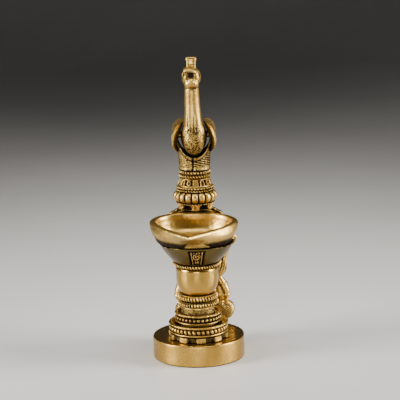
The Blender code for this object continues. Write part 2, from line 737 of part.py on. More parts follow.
def make_amla(material):
    """A ribbed knop, like an amla fruit."""
    wave = 0.0007
    profile = [(STUD_BORE_R, AMLA_Z)]
    for i in range(6):
        a = -pi / 2 + pi * i / 5
        radius = AMLA_R - AMLA_H / 2 - wave + AMLA_H / 2 * cos(a)
        profile.append((radius, AMLA_Z + AMLA_H / 2 * (1 + sin(a)), wave * (0.35 + 0.65 * cos(a))))
    profile.append((STUD_BORE_R, AMLA_Z + AMLA_H))
    return turned("amla_knop", profile, material, count=AMLA_RIBS * 3, waves=AMLA_RIBS, at=COLUMN)


def make_band(name, material, radius, low, height, bore):
    """A moulded ring: two rounded beads with a groove between them."""
    bead = height / 2
    profile = [(bore, low)]
    for start in (low, low + bead):
        for i in range(3):
            a = radians(-60 + 60 * i)
            profile.append((radius - bead / 2 * (1 - cos(a)), start + bead / 2 * (1 + sin(a) * 0.97)))
    profile[1] = (profile[1][0], low)
    profile[-1] = (profile[-1][0], low + height)
    profile.append((bore, low + height))
    return turned(name, profile, material, count=36, at=COLUMN)


def make_drum(material):
    """A slightly tapered drum with upright niches sunk round it."""
    count = NICHES * 4
    angles = np.arange(count) * 2 * pi / count
    sunk = np.arange(count) % 4 < 2
    top = DRUM_Z + DRUM_H
    levels = (
        (DRUM_Z, DRUM_FOOT_R, 0.0),
        (DRUM_Z + DRUM_H * 0.14, DRUM_FOOT_R, 0.0),
        (DRUM_Z + DRUM_H * 0.18, DRUM_FOOT_R - 0.0001, NICHE_DEPTH),
        (DRUM_Z + DRUM_H * 0.84, DRUM_TOP_R + 0.0001, NICHE_DEPTH),
        (DRUM_Z + DRUM_H * 0.88, DRUM_TOP_R, 0.0),
        (top, DRUM_TOP_R, 0.0),
        (top, DOWEL_R + FIT, 0.0),
        (STUD_TOP + FIT, DOWEL_R + FIT, 0.0),
        (STUD_TOP + FIT, STUD_BORE_R, 0.0),
        (DRUM_Z, STUD_BORE_R, 0.0),
    )
    rings = []
    for z, radius, depth in levels:
        reach = radius - depth * sunk
        rings.append(np.column_stack([reach * np.sin(angles), -reach * np.cos(angles), np.full(count, z)]))
    drum = skin("niche_drum", rings, material, endless=True)
    drum.location = COLUMN
    return drum


# ---------------------------------------------------------------- cradle and bird


def body_room(name, spare):
    """A trough along Y with the section of the bird's body, for cutting the cradle's hollow."""
    angles = np.arange(ROUND) * 2 * pi / ROUND
    rings = []
    for y in (-2 * CRADLE_TOP_R, 2 * CRADLE_TOP_R):
        x = (BODY_HALF_W + 0.0012 + spare) * np.sin(angles)
        z = BODY_Z + (BODY_HALF_H + spare) * np.cos(angles)
        rings.append(np.column_stack([x, np.full(ROUND, y), z]))
    room = capped(name, rings)
    room.location = COLUMN
    return room


def make_cradle(material):
    """Two leaves that meet at a seam and cup the bird's body between their tips."""
    leaves = []
    for side, name in ((-1, "left"), (1, "right")):
        top = CRADLE_Z + CRADLE_H
        profile = [(DOWEL_R + FIT, CRADLE_Z), (CRADLE_FOOT_R, CRADLE_Z)]
        profile += [
            (CRADLE_FOOT_R + (CRADLE_TOP_R - CRADLE_FOOT_R) * (i / 6) ** 0.7, CRADLE_Z + CRADLE_H * i / 6)
            for i in range(1, 7)
        ]
        profile.append((DOWEL_R + FIT, top))
        leaf_half = turned("cradle_" + name, profile, material, count=36, at=COLUMN)
        reach = 2 * CRADLE_TOP_R
        ends = sorted((side * CRADLE_SEAM / 2, -side * reach))
        low = (ends[0], COLUMN_Y - reach, CRADLE_Z - 0.001)
        high = (ends[1], COLUMN_Y + reach, top + 0.001)
        cutters = [block("cradle_half_" + name, low, high), body_room("cradle_hollow_" + name, FIT)]
        leaves.append(combine(leaf_half, cutters, "DIFFERENCE"))
    return leaves


def neck_path():
    return smooth_path(
        [
            (0, BODY_Y - 0.0048, NECK_FOOT_Z - 0.0060),
            (0, BODY_Y - 0.0066, NECK_FOOT_Z + 0.0040),
            (0, HEAD_Y + 0.0008, NECK_FOOT_Z + (HEAD_Z - NECK_FOOT_Z) * 0.55),
            (0, HEAD_Y, HEAD_Z),
        ],
        NECK_STEPS,
    )


def make_bird(material):
    """Body, neck, head, beak and tail: one casting, with a socket for the dowel under it."""
    body = body_shape("bird_body", 0.0)
    body.data.materials.append(material)
    slim = np.linspace(0, 1, NECK_STEPS)
    widths = NECK_HALF_W + 0.0028 * (1 - slim) ** 3 + 0.0001 * slim
    semis = [(w, w * (1.0 + 0.15 * (1 - s))) for w, s in zip(widths, slim)]
    neck = tube("bird_neck", neck_path(), semis, count=16)
    face = (0, HEAD_Y - 0.0005, HEAD_Z)
    head = ball("bird_head", face, (HEAD_HALF_W, HEAD_HALF_L, HEAD_HALF_H), rings=10, count=16)
    beak_path = smooth_path([(0, HEAD_Y - 0.004, HEAD_Z - 0.0005), (0, HEAD_Y - 0.0125, HEAD_Z - 0.0042)], 5)
    semis = [(0.0032 - 0.0020 * t, 0.0024 - 0.0014 * t) for t in np.linspace(0, 1, 5)]
    beak = tube("bird_beak", beak_path, semis, count=8)
    tail_path = smooth_path(
        [
            (0, BODY_Y + 0.0050, BODY_Z + 0.001),
            (0, BODY_Y + 0.0125, BODY_Z + 0.0030),
            (0, BODY_Y + 0.0185, BODY_Z + 0.0085),
        ],
        6,
    )
    semis = [(0.0058 - 0.0030 * t, 0.0046 - 0.0034 * t) for t in np.linspace(0, 1, 6)]
    tail = tube("bird_tail", tail_path, semis, count=10)
    combine(body, [neck, head, beak, tail], "UNION")
    socket = hole("bird_socket", DOWEL_R + FIT, CRADLE_Z, DOWEL_TOP + FIT, COLUMN)
    return combine(body, [socket], "DIFFERENCE")


def make_dowel(material):
    low = STUD_TOP + 2 * FIT
    profile = [(0, low), (DOWEL_R, low), (DOWEL_R, DOWEL_TOP), (0, DOWEL_TOP)]
    return turned("bird_dowel", profile, material, count=SMALL, at=COLUMN)


def make_crest(material):
    """A flat tab with rounded corners, standing on the head."""
    foot = HEAD_Z + HEAD_HALF_H + FIT
    outline = [(-0.92, 0.0), (0.92, 0.0), (0.90, 0.35), (1.0, 0.75), (0.93, 0.93), (0.75, 1.0)]
    outline += [(-x, z) for x, z in reversed(outline[3:])] + [(-0.90, 0.35)]
    x, z = np.array(outline).T
    rings = []
    for y, shrink in ((-0.5, 0.88), (-0.36, 1.0), (0.36, 1.0), (0.5, 0.88)):
        height = foot + CREST_H * z * shrink
        rings.append(np.column_stack([CREST_HALF_W * x * shrink, np.full(len(x), CREST_T * y), height]))
    crest = capped("crest_tab", rings, material)
    crest.location = (0, HEAD_Y, 0)
    return crest


def make_wings(material):
    """Crescent wings: a thin lens wrapped round the body's side, with a lug that meets the body."""
    wings = []
    for side, name in ((-1, "left"), (1, "right")):
        rings = []
        for i in range(1, WING_STATIONS):
            s = -cos(pi * i / WING_STATIONS)
            reach = sqrt(1 - s * s) ** 0.8
            y = BODY_Y + 0.002 + WING_HALF_L * s
            rise = 0.004 * max(s, 0) ** 1.5
            rings.append(wing_section(side, y, reach, rise))
        ends = []
        for s, ring in ((-1, rings[0]), (1, rings[-1])):
            middle = ring.mean(axis=0, keepdims=True)
            middle[0, 1] = BODY_Y + 0.002 + WING_HALF_L * s
            ends.append(middle)
        wing = skin("wing_" + name, [ends[0], *rings, ends[1]], material)
        reaches = (BODY_HALF_W + 0.0004, 0.0105, 0.0112)
        lug_path = [(side * x, BODY_Y + 0.002, BODY_Z + 0.0010) for x in reaches]
        combine(wing, [tube("wing_lug_" + name, lug_path, [(0.0020, 0.0020)] * 3)], "UNION")
        inside = CRADLE_TOP_R + FIT
        low, high = CRADLE_Z, CRADLE_Z + CRADLE_H + FIT
        room = [(0, low), (inside, low), (inside, high), (0, high)]
        cutters = [body_shape("wing_room_" + name, FIT), turned("wing_cradle_" + name, room, at=COLUMN)]
        wings.append(combine(wing, cutters, "DIFFERENCE"))
    return wings


def body_shape(name, spare):
    """The bird's body, with a spare all round it."""
    semi = (BODY_HALF_W + spare, BODY_HALF_L + spare, BODY_HALF_H + spare)
    return ball(name, (0, BODY_Y, BODY_Z), semi, rings=12, count=20, tilt=radians(8))


def wing_section(side, y, reach, rise):
    """A crescent in the XZ plane: an outer arc, and an inner arc that meets it at both tips."""
    steps = 8
    high, low = radians(64), radians(-44)
    centre = radians(8)
    outer = [centre + (high - centre) * reach * t for t in np.linspace(1, 0, steps)]
    outer += [centre + (low - centre) * reach * t for t in np.linspace(0, 1, steps)][1:]
    points = []
    half = len(outer) - 1
    for k, angle in enumerate(outer):
        points.append(wing_point(side, y, angle, 0.0, rise))
    for k in range(half - 1, 0, -1):
        share = sin(pi * k / half) ** 0.6
        points.append(wing_point(side, y, outer[k], WING_T * share * (0.35 + 0.65 * reach), rise))
    return np.array(points)


def wing_point(side, y, angle, inset, rise):
    x = (WING_SPREAD - inset) * cos(angle) ** 0.8
    z = BODY_Z + 0.0012 + (0.0125 - inset) * sin(angle) + rise
    return (side * x, y, z)


# ---------------------------------------------------------------- the lamp


def carried(name, height, pieces):
    """An empty on the column's axis, which carries the pieces that move with it."""
    axis = bpy.data.objects.new(name, None)
    axis.location = (0, COLUMN_Y, height)
    axis.empty_display_size = AMLA_R
    bpy.context.scene.collection.objects.link(axis)
    for piece in pieces:
        piece.parent = axis
        piece.matrix_parent_inverse = Matrix.Translation(axis.location).inverted()
    return axis


def main():
    for item in list(bpy.data.objects):
        bpy.data.objects.remove(item, do_unlink=True)

    polished = brass("polished_brass", (0.74, 0.53, 0.25), 0.26)
    antique = brass("antique_brass", (0.56, 0.38, 0.15), 0.38)
    fixing = brass("plain_brass", (0.66, 0.48, 0.22), 0.45)

    make_base(polished)
    make_foot(antique)
    make_tier("tier_lower", antique, TIER_LOW_R, TIER_LOW_Z, TIER_LOW_H)
    make_tier("tier_upper", antique, TIER_UP_R, TIER_UP_Z, TIER_UP_H, 0.0016, TIER_UP_R - 0.0014)
    make_ridged_ring("ring_lower", antique, RING_LOW_R, RING_LOW_Z, RING_LOW_H, NECK_R, NECK_H)
    make_ridged_ring("ring_upper", antique, RING_UP_R, RING_UP_Z, RING_UP_H)
    make_pot(polished)
    make_rope(antique)
    make_cup(polished)
    make_panel(antique)
    make_bowl(polished)
    make_tie_screw(fixing)

    make_plate(antique)
    make_figure(antique)
    make_rivets(fixing)
    make_figure_screws(fixing)

    make_stud(fixing)
    knop = [make_petal_cup(antique), make_amla(antique)]
    finial = [
        make_band("band_lower", antique, BAND_LOW_R, BAND_LOW_Z, BAND_LOW_H, STUD_BORE_R),
        make_drum(antique),
        make_band("band_upper", antique, BAND_UP_R, BAND_UP_Z, BAND_UP_H, DOWEL_R + FIT),
        make_bird(antique),
        make_dowel(fixing),
        make_crest(antique),
        *make_cradle(antique),
        *make_wings(antique),
    ]
    carried("knop_axis", PETAL_Z, [*knop, carried("finial_axis", BAND_LOW_Z, finial)])


main()
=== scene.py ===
"""The looks of a small standing brass oil lamp, built round its CAD frame.

Each visible piece is a surface worked out on a grid of two parameters, in metres, in the frame's own axes:
+Z up, the bowl's spout to -Y. A point's "hollow" attribute says how deep in the ornament it lies, from 0 to 1,
and the brass finishes darken there. On the bowl's hull it also carries painted shade on the lower part and a
lighter wedge under the spout as a painted reflection, and the finishes paint shade where nearby surfaces block
the light.
"""

import json
from math import cos, radians, sin

import bpy
import numpy as np
from mathutils import Matrix, Vector


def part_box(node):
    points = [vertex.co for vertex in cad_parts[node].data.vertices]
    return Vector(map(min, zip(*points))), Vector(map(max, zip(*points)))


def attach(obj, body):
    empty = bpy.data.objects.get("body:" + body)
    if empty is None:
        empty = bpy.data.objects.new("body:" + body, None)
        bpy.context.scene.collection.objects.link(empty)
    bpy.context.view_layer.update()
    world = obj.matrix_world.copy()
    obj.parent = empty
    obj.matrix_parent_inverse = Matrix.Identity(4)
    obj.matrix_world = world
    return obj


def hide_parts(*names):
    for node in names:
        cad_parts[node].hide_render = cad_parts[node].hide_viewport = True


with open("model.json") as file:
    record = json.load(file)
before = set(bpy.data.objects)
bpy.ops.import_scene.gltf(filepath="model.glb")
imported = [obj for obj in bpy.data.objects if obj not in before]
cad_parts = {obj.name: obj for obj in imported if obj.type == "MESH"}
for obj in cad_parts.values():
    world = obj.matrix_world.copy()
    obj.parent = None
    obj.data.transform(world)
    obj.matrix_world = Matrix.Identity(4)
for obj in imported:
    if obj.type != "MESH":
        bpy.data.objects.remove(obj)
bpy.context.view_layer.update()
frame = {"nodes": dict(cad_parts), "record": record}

bl_info = {
    "name": "Standing Brass Oil Lamp",
    "version": (1, 0, 0),
    "blender": (4, 5, 0),
    "location": "3D View > Sidebar > Oil Lamp",
    "description": "Builds the pieces, finishes and stage of a standing brass oil lamp",
    "category": "Object",
}

TAU = 2 * np.pi
FIT = 0.0003  # the gap between two CAD pieces
BORE = 0.0023  # radius of the stem's hole, for the tie screw
STUD_BORE = 0.0028  # radius of the column's hole, for the stud
DOWEL_BORE = 0.0021  # radius of the column's hole higher up, for the bird's dowel
PLATE_THICKNESS = 0.0036
BOWL_SHIFT = -0.0013  # how far the bowl sits to the side of the stem
BODY_HALF_WIDTH, BODY_HALF_HEIGHT = 0.0077, 0.0105  # of the bird's body
BIRD_LEAN = -0.0006  # how far the bird's head leans to the side
SMALL_SWELL = 0.00005  # depth of the slow waves on the finial's thin pieces
SIDES = ((-1, "left"), (1, "right"))


# ---------------------------------------------------------------- sizes read from the frame


def turned_size(node):
    """Axis (x, y), radius, foot and top of a turned CAD node."""
    low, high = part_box(node)
    return ((low.x + high.x) / 2, (low.y + high.y) / 2), (high.x - low.x) / 2, low.z, high.z


STEM = turned_size("pot_stem")[0]
COLUMN = turned_size("amla_knop")[0]
BOWL_LOW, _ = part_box("oil_bowl")
PLATE_LOW, PLATE_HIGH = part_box("back_plate")
_, BIRD_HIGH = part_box("bird_body")
CRADLE_LOW, CRADLE_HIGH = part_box("cradle_right")
SEAT_Z = PLATE_LOW.z
BODY_Z = CRADLE_LOW.z + 0.0083 + BODY_HALF_HEIGHT  # the middle of the bird's body


# ---------------------------------------------------------------- grids and meshes


def angles(count):
    """Even steps once round a circle."""
    return np.arange(count) * TAU / count


def ripple(phase):
    """A wave from 0 to 1: a half plus half the cosine of the phase."""
    return 0.5 + 0.5 * np.cos(phase)


def hump(value, middle, half):
    """1 at the middle, falling to 0 at half a width away, as a cosine."""
    return 0.5 + 0.5 * np.cos(np.pi * np.clip((value - middle) / half, -1, 1))


def step(value, low, high):
    """0 up to low and 1 from high on, by a smooth cubic."""
    t = np.clip((value - low) / (high - low), 0, 1)
    return t * t * (3 - 2 * t)


def between(value, low, high, soft):
    """1 from low to high and 0 outside, with soft edges."""
    return step(value, low - soft, low + soft) * (1 - step(value, high - soft, high + soft))


def curve(knots, count):
    """A Catmull-Rom curve through rows of numbers, at even steps of its parameter."""
    knots = np.array(knots, float)
    padded = np.vstack([2 * knots[0] - knots[1], knots, 2 * knots[-1] - knots[-2]])
    spots = np.linspace(0, len(knots) - 1, count)
    index = np.minimum(spots.astype(int), len(knots) - 2)
    t = (spots - index)[:, None]
    a, b, c, d = (padded[index + k] for k in range(4))
    return b + 0.5 * t * (c - a + t * (2 * a - 5 * b + 4 * c - d + t * (3 * (b - c) + d - a)))


def outline(corners, count, plain=0, soft=3, closed=True):
    """An even walk along a line of (radius, height) corners, which a moving average then rounds.

    The last plain sides are hidden ones, and get an eighth of the points."""
    line = np.array(corners, float)
    if closed:
        line = np.vstack([line, line[:1]])
    weight = np.linalg.norm(np.diff(line, axis=0), axis=1)
    if plain:
        weight[-plain:] /= 8
    spots = np.concatenate([[0], np.cumsum(weight)])
    steps = np.linspace(0, spots[-1], count, endpoint=not closed)
    walk = np.column_stack([np.interp(steps, spots, line[:, k]) for k in (0, 1)])
    for _ in range(soft):
        mean = (np.roll(walk, 1, 0) + 2 * walk + np.roll(walk, -1, 0)) / 4
        if not closed:
            mean[[0, -1]] = walk[[0, -1]]
        walk = mean
    return walk


def revolve(line, axis, count, relief=None):
    """x = ax + r sin a and y = ay - r cos a, with (r, z) along the line and a round the axis.

    relief(a, r, z) gives how far the point is pushed out from the axis, and its hollow."""
    a = angles(count)[None, :]
    r, z = line[:, :1], line[:, 1:]
    push, hollow = relief(a, r, z) if relief else (0.0, 0.0)
    reach = np.maximum(r + push * (r > BORE * 1.2), 0) + 0 * a
    points = np.stack([axis[0] + reach * np.sin(a), axis[1] - reach * np.cos(a), z + 0 * a], -1)
    return points, hollow + 0 * reach


def quads(rows, columns, close_rows, close_columns):
    """The four corners of each cell of a grid, as rows of indices."""
    index = np.arange(rows * columns).reshape(rows, columns)
    if close_rows:
        index = np.vstack([index, index[:1]])
    if close_columns:
        index = np.hstack([index, index[:, :1]])
    return np.stack([index[:-1, :-1], index[:-1, 1:], index[1:, 1:], index[1:, :-1]], -1).reshape(-1, 4)


def skin(grid, hollow=0.0, close_rows=True, close_columns=True):
    """A grid of points as (points, faces, hollow), with faces turned outwards.

    Rows that shrink to a point make the poles: points in one place become one, and a face that
    loses a corner becomes a triangle."""
    rows, columns = grid.shape[:2]
    points = grid.reshape(-1, 3)
    depth = np.broadcast_to(hollow, (rows, columns)).reshape(-1)
    faces = quads(rows, columns, close_rows, close_columns)
    _, first, back = np.unique(np.round(points / 2e-7), axis=0, return_index=True, return_inverse=True)
    points, depth, faces = points[first], depth[first], back.reshape(-1)[faces]
    a, b, c, d = (points[faces[:, k]] for k in range(4))
    volume = np.einsum("ij,ij->", a, np.cross(b, c)) + np.einsum("ij,ij->", a, np.cross(c, d))
    if volume < 0:
        faces = faces[:, ::-1]
    same = faces == np.roll(faces, -1, axis=1)
    lost = same.sum(axis=1)
    threes = faces[lost == 1][~same[lost == 1]].reshape(-1, 3)
    return points, faces[lost == 0].tolist() + threes.tolist(), depth


def joined(skins):
    """Several skins as one."""
    points, faces, depth, start = [], [], [], 0
    for some, their, hollow in skins:
        points.append(some)
        depth.append(hollow)
        faces += [[corner + start for corner in face] for face in their]
        start += len(some)
    return np.vstack(points), faces, np.concatenate(depth)


def capped(rings, hollow):
    """A skin of a stack of closed rings, with a point at the middle of each end ring, so that it closes."""
    ends = [np.broadcast_to(ring.mean(axis=0), ring.shape)[None] for ring in (rings[0], rings[-1])]
    depth = np.vstack([hollow[:1], hollow, hollow[-1:]])
    return skin(np.concatenate([ends[0], rings, ends[1]]), depth, close_rows=False)


def orb(centre, semi, tilt=0.0, lean=0.0, rows=24, columns=32):
    """An ellipsoid: semi times (cos v sin u, -cos v cos u, sin v), tilted about X, then leant about Y."""
    v = np.linspace(-np.pi / 2, np.pi / 2, rows)[:, None]
    u = angles(columns)[None, :]
    reach = np.cos(v).clip(0) * (np.abs(v) < 1.57)  # exactly 0 at both poles
    ball = np.stack([reach * np.sin(u), -reach * np.cos(u), np.sin(v) + 0 * u], -1) * np.array(semi)
    turn = np.array(Matrix.Rotation(lean, 3, "Y") @ Matrix.Rotation(tilt, 3, "X"))
    return skin(ball @ turn.T + np.array(centre), close_rows=False)


def limb(knots, count=40, columns=20, flat=1.0, squareness=8):
    """A rounded rod along a curve through rows of (x, y, z, radius).

    Its radius is the knots' own times (1 - |2s - 1|^squareness)^0.5, so that both ends close round."""
    line = curve(knots, count)
    ahead = np.gradient(line[:, :3], axis=0)
    ahead /= np.linalg.norm(ahead, axis=1)[:, None]
    side = np.array([1.0, 0, 0]) if np.abs(ahead[:, 0]).max() < 0.85 else np.array([0, 1.0, 0])
    across = side - ahead * (ahead @ side)[:, None]
    across /= np.linalg.norm(across, axis=1)[:, None]
    up = np.cross(ahead, across)
    s = np.linspace(0, 1, count)
    radius = (line[:, 3] * np.sqrt(np.clip(1 - np.abs(2 * s - 1) ** squareness, 0, 1)))[:, None, None]
    a = angles(columns)[None, :, None]
    rings = line[:, None, :3] + radius * (across[:, None] * np.cos(a) + up[:, None] * np.sin(a) * flat)
    return skin(rings, close_rows=False)


def fused(parts, voxel, soften):
    """Closed skins run into one casting by a voxel remesh, then smoothed. Gives points, faces and normals."""
    points, faces, _ = joined(parts)
    mesh = bpy.data.meshes.new("casting")
    mesh.from_pydata(points, [], faces)
    rough = bpy.data.objects.new("casting", mesh)
    bpy.context.scene.collection.objects.link(rough)
    remesh = rough.modifiers.new("fuse", "REMESH")
    remesh.mode = "VOXEL"
    remesh.voxel_size = voxel
    smooth = rough.modifiers.new("soften", "SMOOTH")
    smooth.iterations = soften
    smooth.factor = 0.5
    graph = bpy.context.evaluated_depsgraph_get()
    made = bpy.data.meshes.new_from_object(rough.evaluated_get(graph))
    count = len(made.vertices)
    where, normal = np.empty(count * 3, np.float32), np.empty(count * 3, np.float32)
    made.vertices.foreach_get("co", where)
    made.vertex_normals.foreach_get("vector", normal)
    corners = [list(face.vertices) for face in made.polygons]
    bpy.data.objects.remove(rough)
    bpy.data.meshes.remove(mesh)
    bpy.data.meshes.remove(made)
    return where.reshape(-1, 3).astype(float), corners, normal.reshape(-1, 3).astype(float)


def wander(points, scale, seed):
    """A slow random swell between about -1 and 1: a mean of sines along seeded directions."""
    dice = np.random.default_rng(seed)
    total = 0
    for _ in range(7):
        direction = dice.normal(size=3)
        direction *= scale * dice.uniform(0.6, 1.5) / np.linalg.norm(direction)
        total = total + np.sin(points @ direction * TAU + dice.uniform(0, TAU))
    return total / 3.2


def piece(name, shape, body, nodes, coat, swell=0.0):
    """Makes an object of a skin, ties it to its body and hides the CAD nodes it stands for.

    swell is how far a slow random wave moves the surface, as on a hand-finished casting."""
    points, faces, depth = shape
    mesh = bpy.data.meshes.new(name)
    mesh.from_pydata(points, [], faces)
    if swell:
        normal = np.empty(len(points) * 3, np.float32)
        mesh.vertex_normals.foreach_get("vector", normal)
        wave = wander(points, 110, len(name)) * 0.7 + wander(points, 330, len(name) + 1) * 0.3
        points = points + normal.reshape(-1, 3) * (swell * wave)[:, None]
        mesh.vertices.foreach_set("co", points.astype(np.float32).ravel())
    hollow = mesh.attributes.new("hollow", "FLOAT", "POINT")
    hollow.data.foreach_set("value", np.clip(depth, 0, 1).astype(np.float32))
    mesh.shade_smooth()
    mesh.materials.append(coat)
    made = bpy.data.objects.new(name, mesh)
    bpy.context.scene.collection.objects.link(made)
    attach(made, body)
    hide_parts(*nodes)


# ---------------------------------------------------------------- finishes


class Term:
    """A value in a finish. Arithmetic on terms adds Math nodes."""

    def __init__(self, recipe, socket):
        self.recipe = recipe
        self.socket = socket

    def math(self, operation, *values):
        """A Math node on numbers and terms."""
        return self.recipe.add("ShaderNodeMath", {"operation": operation}, dict(enumerate(values)))

    def __add__(self, other):
        return self.math("ADD", self, other)

    def __sub__(self, other):
        return self.math("SUBTRACT", self, other)

    def __rsub__(self, other):
        return self.math("SUBTRACT", other, self)

    def __mul__(self, other):
        return self.math("MULTIPLY", self, other)

    __radd__ = __add__
    __rmul__ = __mul__

    def sine(self):
        return self.math("SINE", self)

    def size(self):
        """How far this is from 0, either way."""
        return self.math("ABSOLUTE", self)

    def clamp(self):
        """This, held between 0 and 1."""
        return self.math("MINIMUM", self.math("MAXIMUM", self, 0.0), 1.0)

    def step(self, low, high):
        """0 up to low and 1 from high on, by a smooth step."""
        sockets = {"Value": self, "From Min": low, "From Max": high}
        return self.recipe.add("ShaderNodeMapRange", {"interpolation_type": "SMOOTHSTEP"}, sockets)

    def paint(self, low, high):
        """The colour low where this is 0, and high where it is 1."""
        settings = {"data_type": "RGBA"}
        return self.recipe.add("ShaderNodeMix", settings, {0: self, 6: low, 7: high}, 2)


class Recipe:
    """A finish under construction."""

    def __init__(self, name):
        self.material = bpy.data.materials.new(name)
        self.material.use_nodes = True
        self.tree = self.material.node_tree
        self.shader = self.tree.nodes["Principled BSDF"]

    def add(self, kind, settings=None, sockets=None, out=0):
        """Adds a node: its type, its settings, and the values or links of its sockets. Gives one output."""
        node = self.tree.nodes.new(kind)
        for setting, value in (settings or {}).items():
            setattr(node, setting, value)
        self.fill(node, sockets or {})
        return Term(self, node.outputs[out])

    def fill(self, node, sockets):
        """Gives a node's sockets their values or links."""
        for key, value in sockets.items():
            if isinstance(value, Term):
                self.tree.links.new(value.socket, node.inputs[key])
            elif isinstance(value, tuple) and len(value) == 3 and node.inputs[key].type == "RGBA":
                node.inputs[key].default_value = (*value, 1)
            else:
                node.inputs[key].default_value = value

    def noise(self, place, scale, detail=2.0, roughness=0.5):
        """A noise from 0 to 1, centred on a half."""
        sockets = {"Vector": place, "Scale": scale, "Detail": detail, "Roughness": roughness}
        return self.add("ShaderNodeTexNoise", None, sockets)


def brass(name, bright, deep, gloss, patina_and_shade_colour, lathe=0.0, grain=0.3, hatch=0.0, tarnish=0.5, pits=0.0):
    """A brass finish. Dark oxide lies in the hollows, and painted shade darkens the colour where nearby
    surfaces block the light, as where two pieces meet; a browner tarnish comes and goes in clouds, and the
    surface has a fine grain, with turning lines, a chased hatch or dark pits where asked. Noise scales are in
    cells per metre."""
    if name in bpy.data.materials:
        return bpy.data.materials[name]
    recipe = Recipe(name)
    place = recipe.add("ShaderNodeTexCoord", out="Object")
    hollow = recipe.add("ShaderNodeAttribute", {"attribute_name": "hollow"}, out="Fac")
    # Ambient occlusion within 4 mm and 1.2 mm: how much nearby surfaces block the light, used below to paint
    # shade.
    near = recipe.add("ShaderNodeAmbientOcclusion", {"samples": 8}, {"Distance": 0.004}, "AO")
    tight = recipe.add("ShaderNodeAmbientOcclusion", {"samples": 8}, {"Distance": 0.0012}, "AO")
    cloud = recipe.noise(place, 75, 4.0, 0.6)
    mottle = recipe.noise(place, 480, 3.0, 0.6)
    fine = recipe.noise(place, 2400, 2.0)
    x, y, z = (recipe.add("ShaderNodeSeparateXYZ", None, {0: place}, k) for k in range(3))
    height = fine * grain + mottle * 0.5 * grain
    cut = hollow
    if lathe:
        rings = recipe.add("ShaderNodeCombineXYZ", None, {0: x * 25, 1: y * 25, 2: z * 2600})
        height = height + recipe.noise(rings, 1.0, 3.0) * lathe
    if hatch:
        strokes = ((z * 5200) + (x.size() * 4200) + (mottle * 5)).sine().step(0.1, 0.9)
        crossing = ((z * 4100) + (y * 5200) + (cloud * 9)).sine().step(0.3, 0.95)
        chased = (strokes * 0.7 + crossing * 0.4).clamp() * cloud.step(0.30, 0.5)
        cut = (hollow + chased * hatch).clamp()
        height = height - chased * hatch
    if pits:
        dots = recipe.noise(place, 1100, 2.0).step(0.50, 0.60) * cloud.step(0.25, 0.5) * pits
        cut = (cut + dots).clamp()
        height = height - dots
    # Painted shade: where nearby surfaces block the light, as in crevices and where pieces meet, the colour
    # darkens.
    shade = (1 - near).step(0.38, 0.92) * 0.85 + (1 - tight).step(0.30, 0.85) * 0.7
    # The dark mask: dark oxide in the hollows, hatch and pits, together with the painted shade; it also
    # roughens the metal.
    oxide_and_painted_shade = (cut.step(0.12, 0.95) * (0.75 + mottle * 0.7) + shade).clamp()
    brown = (cloud.step(0.40, 0.72) * tarnish + mottle.step(0.5, 0.8) * 0.35 * tarnish).clamp()
    colour = oxide_and_painted_shade.paint(brown.paint(bright, deep), patina_and_shade_colour)
    relief = {"Strength": 0.55, "Distance": 0.00012, "Height": height}
    recipe.fill(
        recipe.shader,
        {
            "Base Color": colour,
            "Metallic": 1 - oxide_and_painted_shade * 0.25,
            "Roughness": (gloss + brown * 0.12 + oxide_and_painted_shade * 0.32 + mottle * 0.10).clamp(),
            "Normal": recipe.add("ShaderNodeBump", None, relief, "Normal"),
        },
    )
    recipe.shader.inputs["Specular IOR Level"].default_value = 0.2
    recipe.material.diffuse_color = (*bright, 1)
    return recipe.material


def finish(kind):
    """One of the lamp's finishes, from the panel's colours."""
    look = bpy.context.scene.oil_lamp
    bright, warm, dim = (tuple(c) for c in (look.bright_brass, look.warm_brass, look.dim_brass))
    # The dark colour paints the oxide in the hollows and also the painted shade.
    patina_and_shade_colour = tuple(look.patina_and_shade_colour)
    rich = tuple(c * share for c, share in zip(bright, (0.86, 0.80, 0.66)))
    if kind == "turned":
        return brass("turned_brass", rich, warm, 0.22, patina_and_shade_colour, lathe=0.9, grain=0.15, tarnish=0.6)
    if kind == "satin":
        return brass("satin_brass", rich, warm, 0.15, patina_and_shade_colour, grain=0.16, tarnish=0.45)
    if kind == "bowl":
        return brass("bowl_brass", bright, warm, 0.24, patina_and_shade_colour, grain=0.5, tarnish=0.6, pits=0.12)
    # Painted shade: the cup is coloured with the dim brass, a darkened copy of the brass that stands for the
    # cup in shade.
    if kind == "cup":
        return brass("dull_and_shaded_cup_brass", dim, tuple(0.6 * c for c in dim), 0.30, patina_and_shade_colour, grain=0.35, tarnish=0.5)
    if kind == "bird":
        marks = {"hatch": 0.3, "pits": 0.45}
        return brass("chased_bird_brass", bright, warm, 0.26, patina_and_shade_colour, grain=0.6, tarnish=0.8, **marks)
    if kind == "fixing":
        return brass("plain_fixing_brass", dim, warm, 0.42, patina_and_shade_colour, lathe=0.5, grain=0.4)
    return brass("chased_brass", bright, warm, 0.26, patina_and_shade_colour, grain=0.6, tarnish=0.8, pits=0.25)


# ---------------------------------------------------------------- stem


def base_shape():
    """A disc: the line goes out along the underside, up the side and back along the top."""
    axis, radius, low, high = turned_size("base_disc")
    line = outline([(0, low), (radius, low), (radius, high), (0, high)], 130, soft=2, closed=False)

    def relief(a, r, z):
        side = step(r, radius * 0.985, radius)
        return side * 0.00006 * (np.sin(3 * a + 1) + np.sin(7 * a)), 0.0

    return skin(*revolve(line, axis, 240, relief), close_rows=False)


def foot_shape():
    """A hub with ten square blocks: the radius steps out and back ten times round."""
    axis, radius, low, high = turned_size("pedestal_foot")
    depth = 0.0026
    corners = [(BORE, low), (radius - depth, low), (radius - depth, high), (BORE, high)]
    line = outline(corners, 70, plain=2, soft=1)

    def relief(a, r, z):
        block = step(np.cos(10 * a - 0.8), -0.25, 0.25)
        outer = step(r, radius - depth - 0.0008, radius - depth - 0.0002)
        return (block * depth + (1 - block) * 0.0010) * outer, outer * (0.7 - 0.4 * block)

    return skin(*revolve(line, axis, 480, relief))


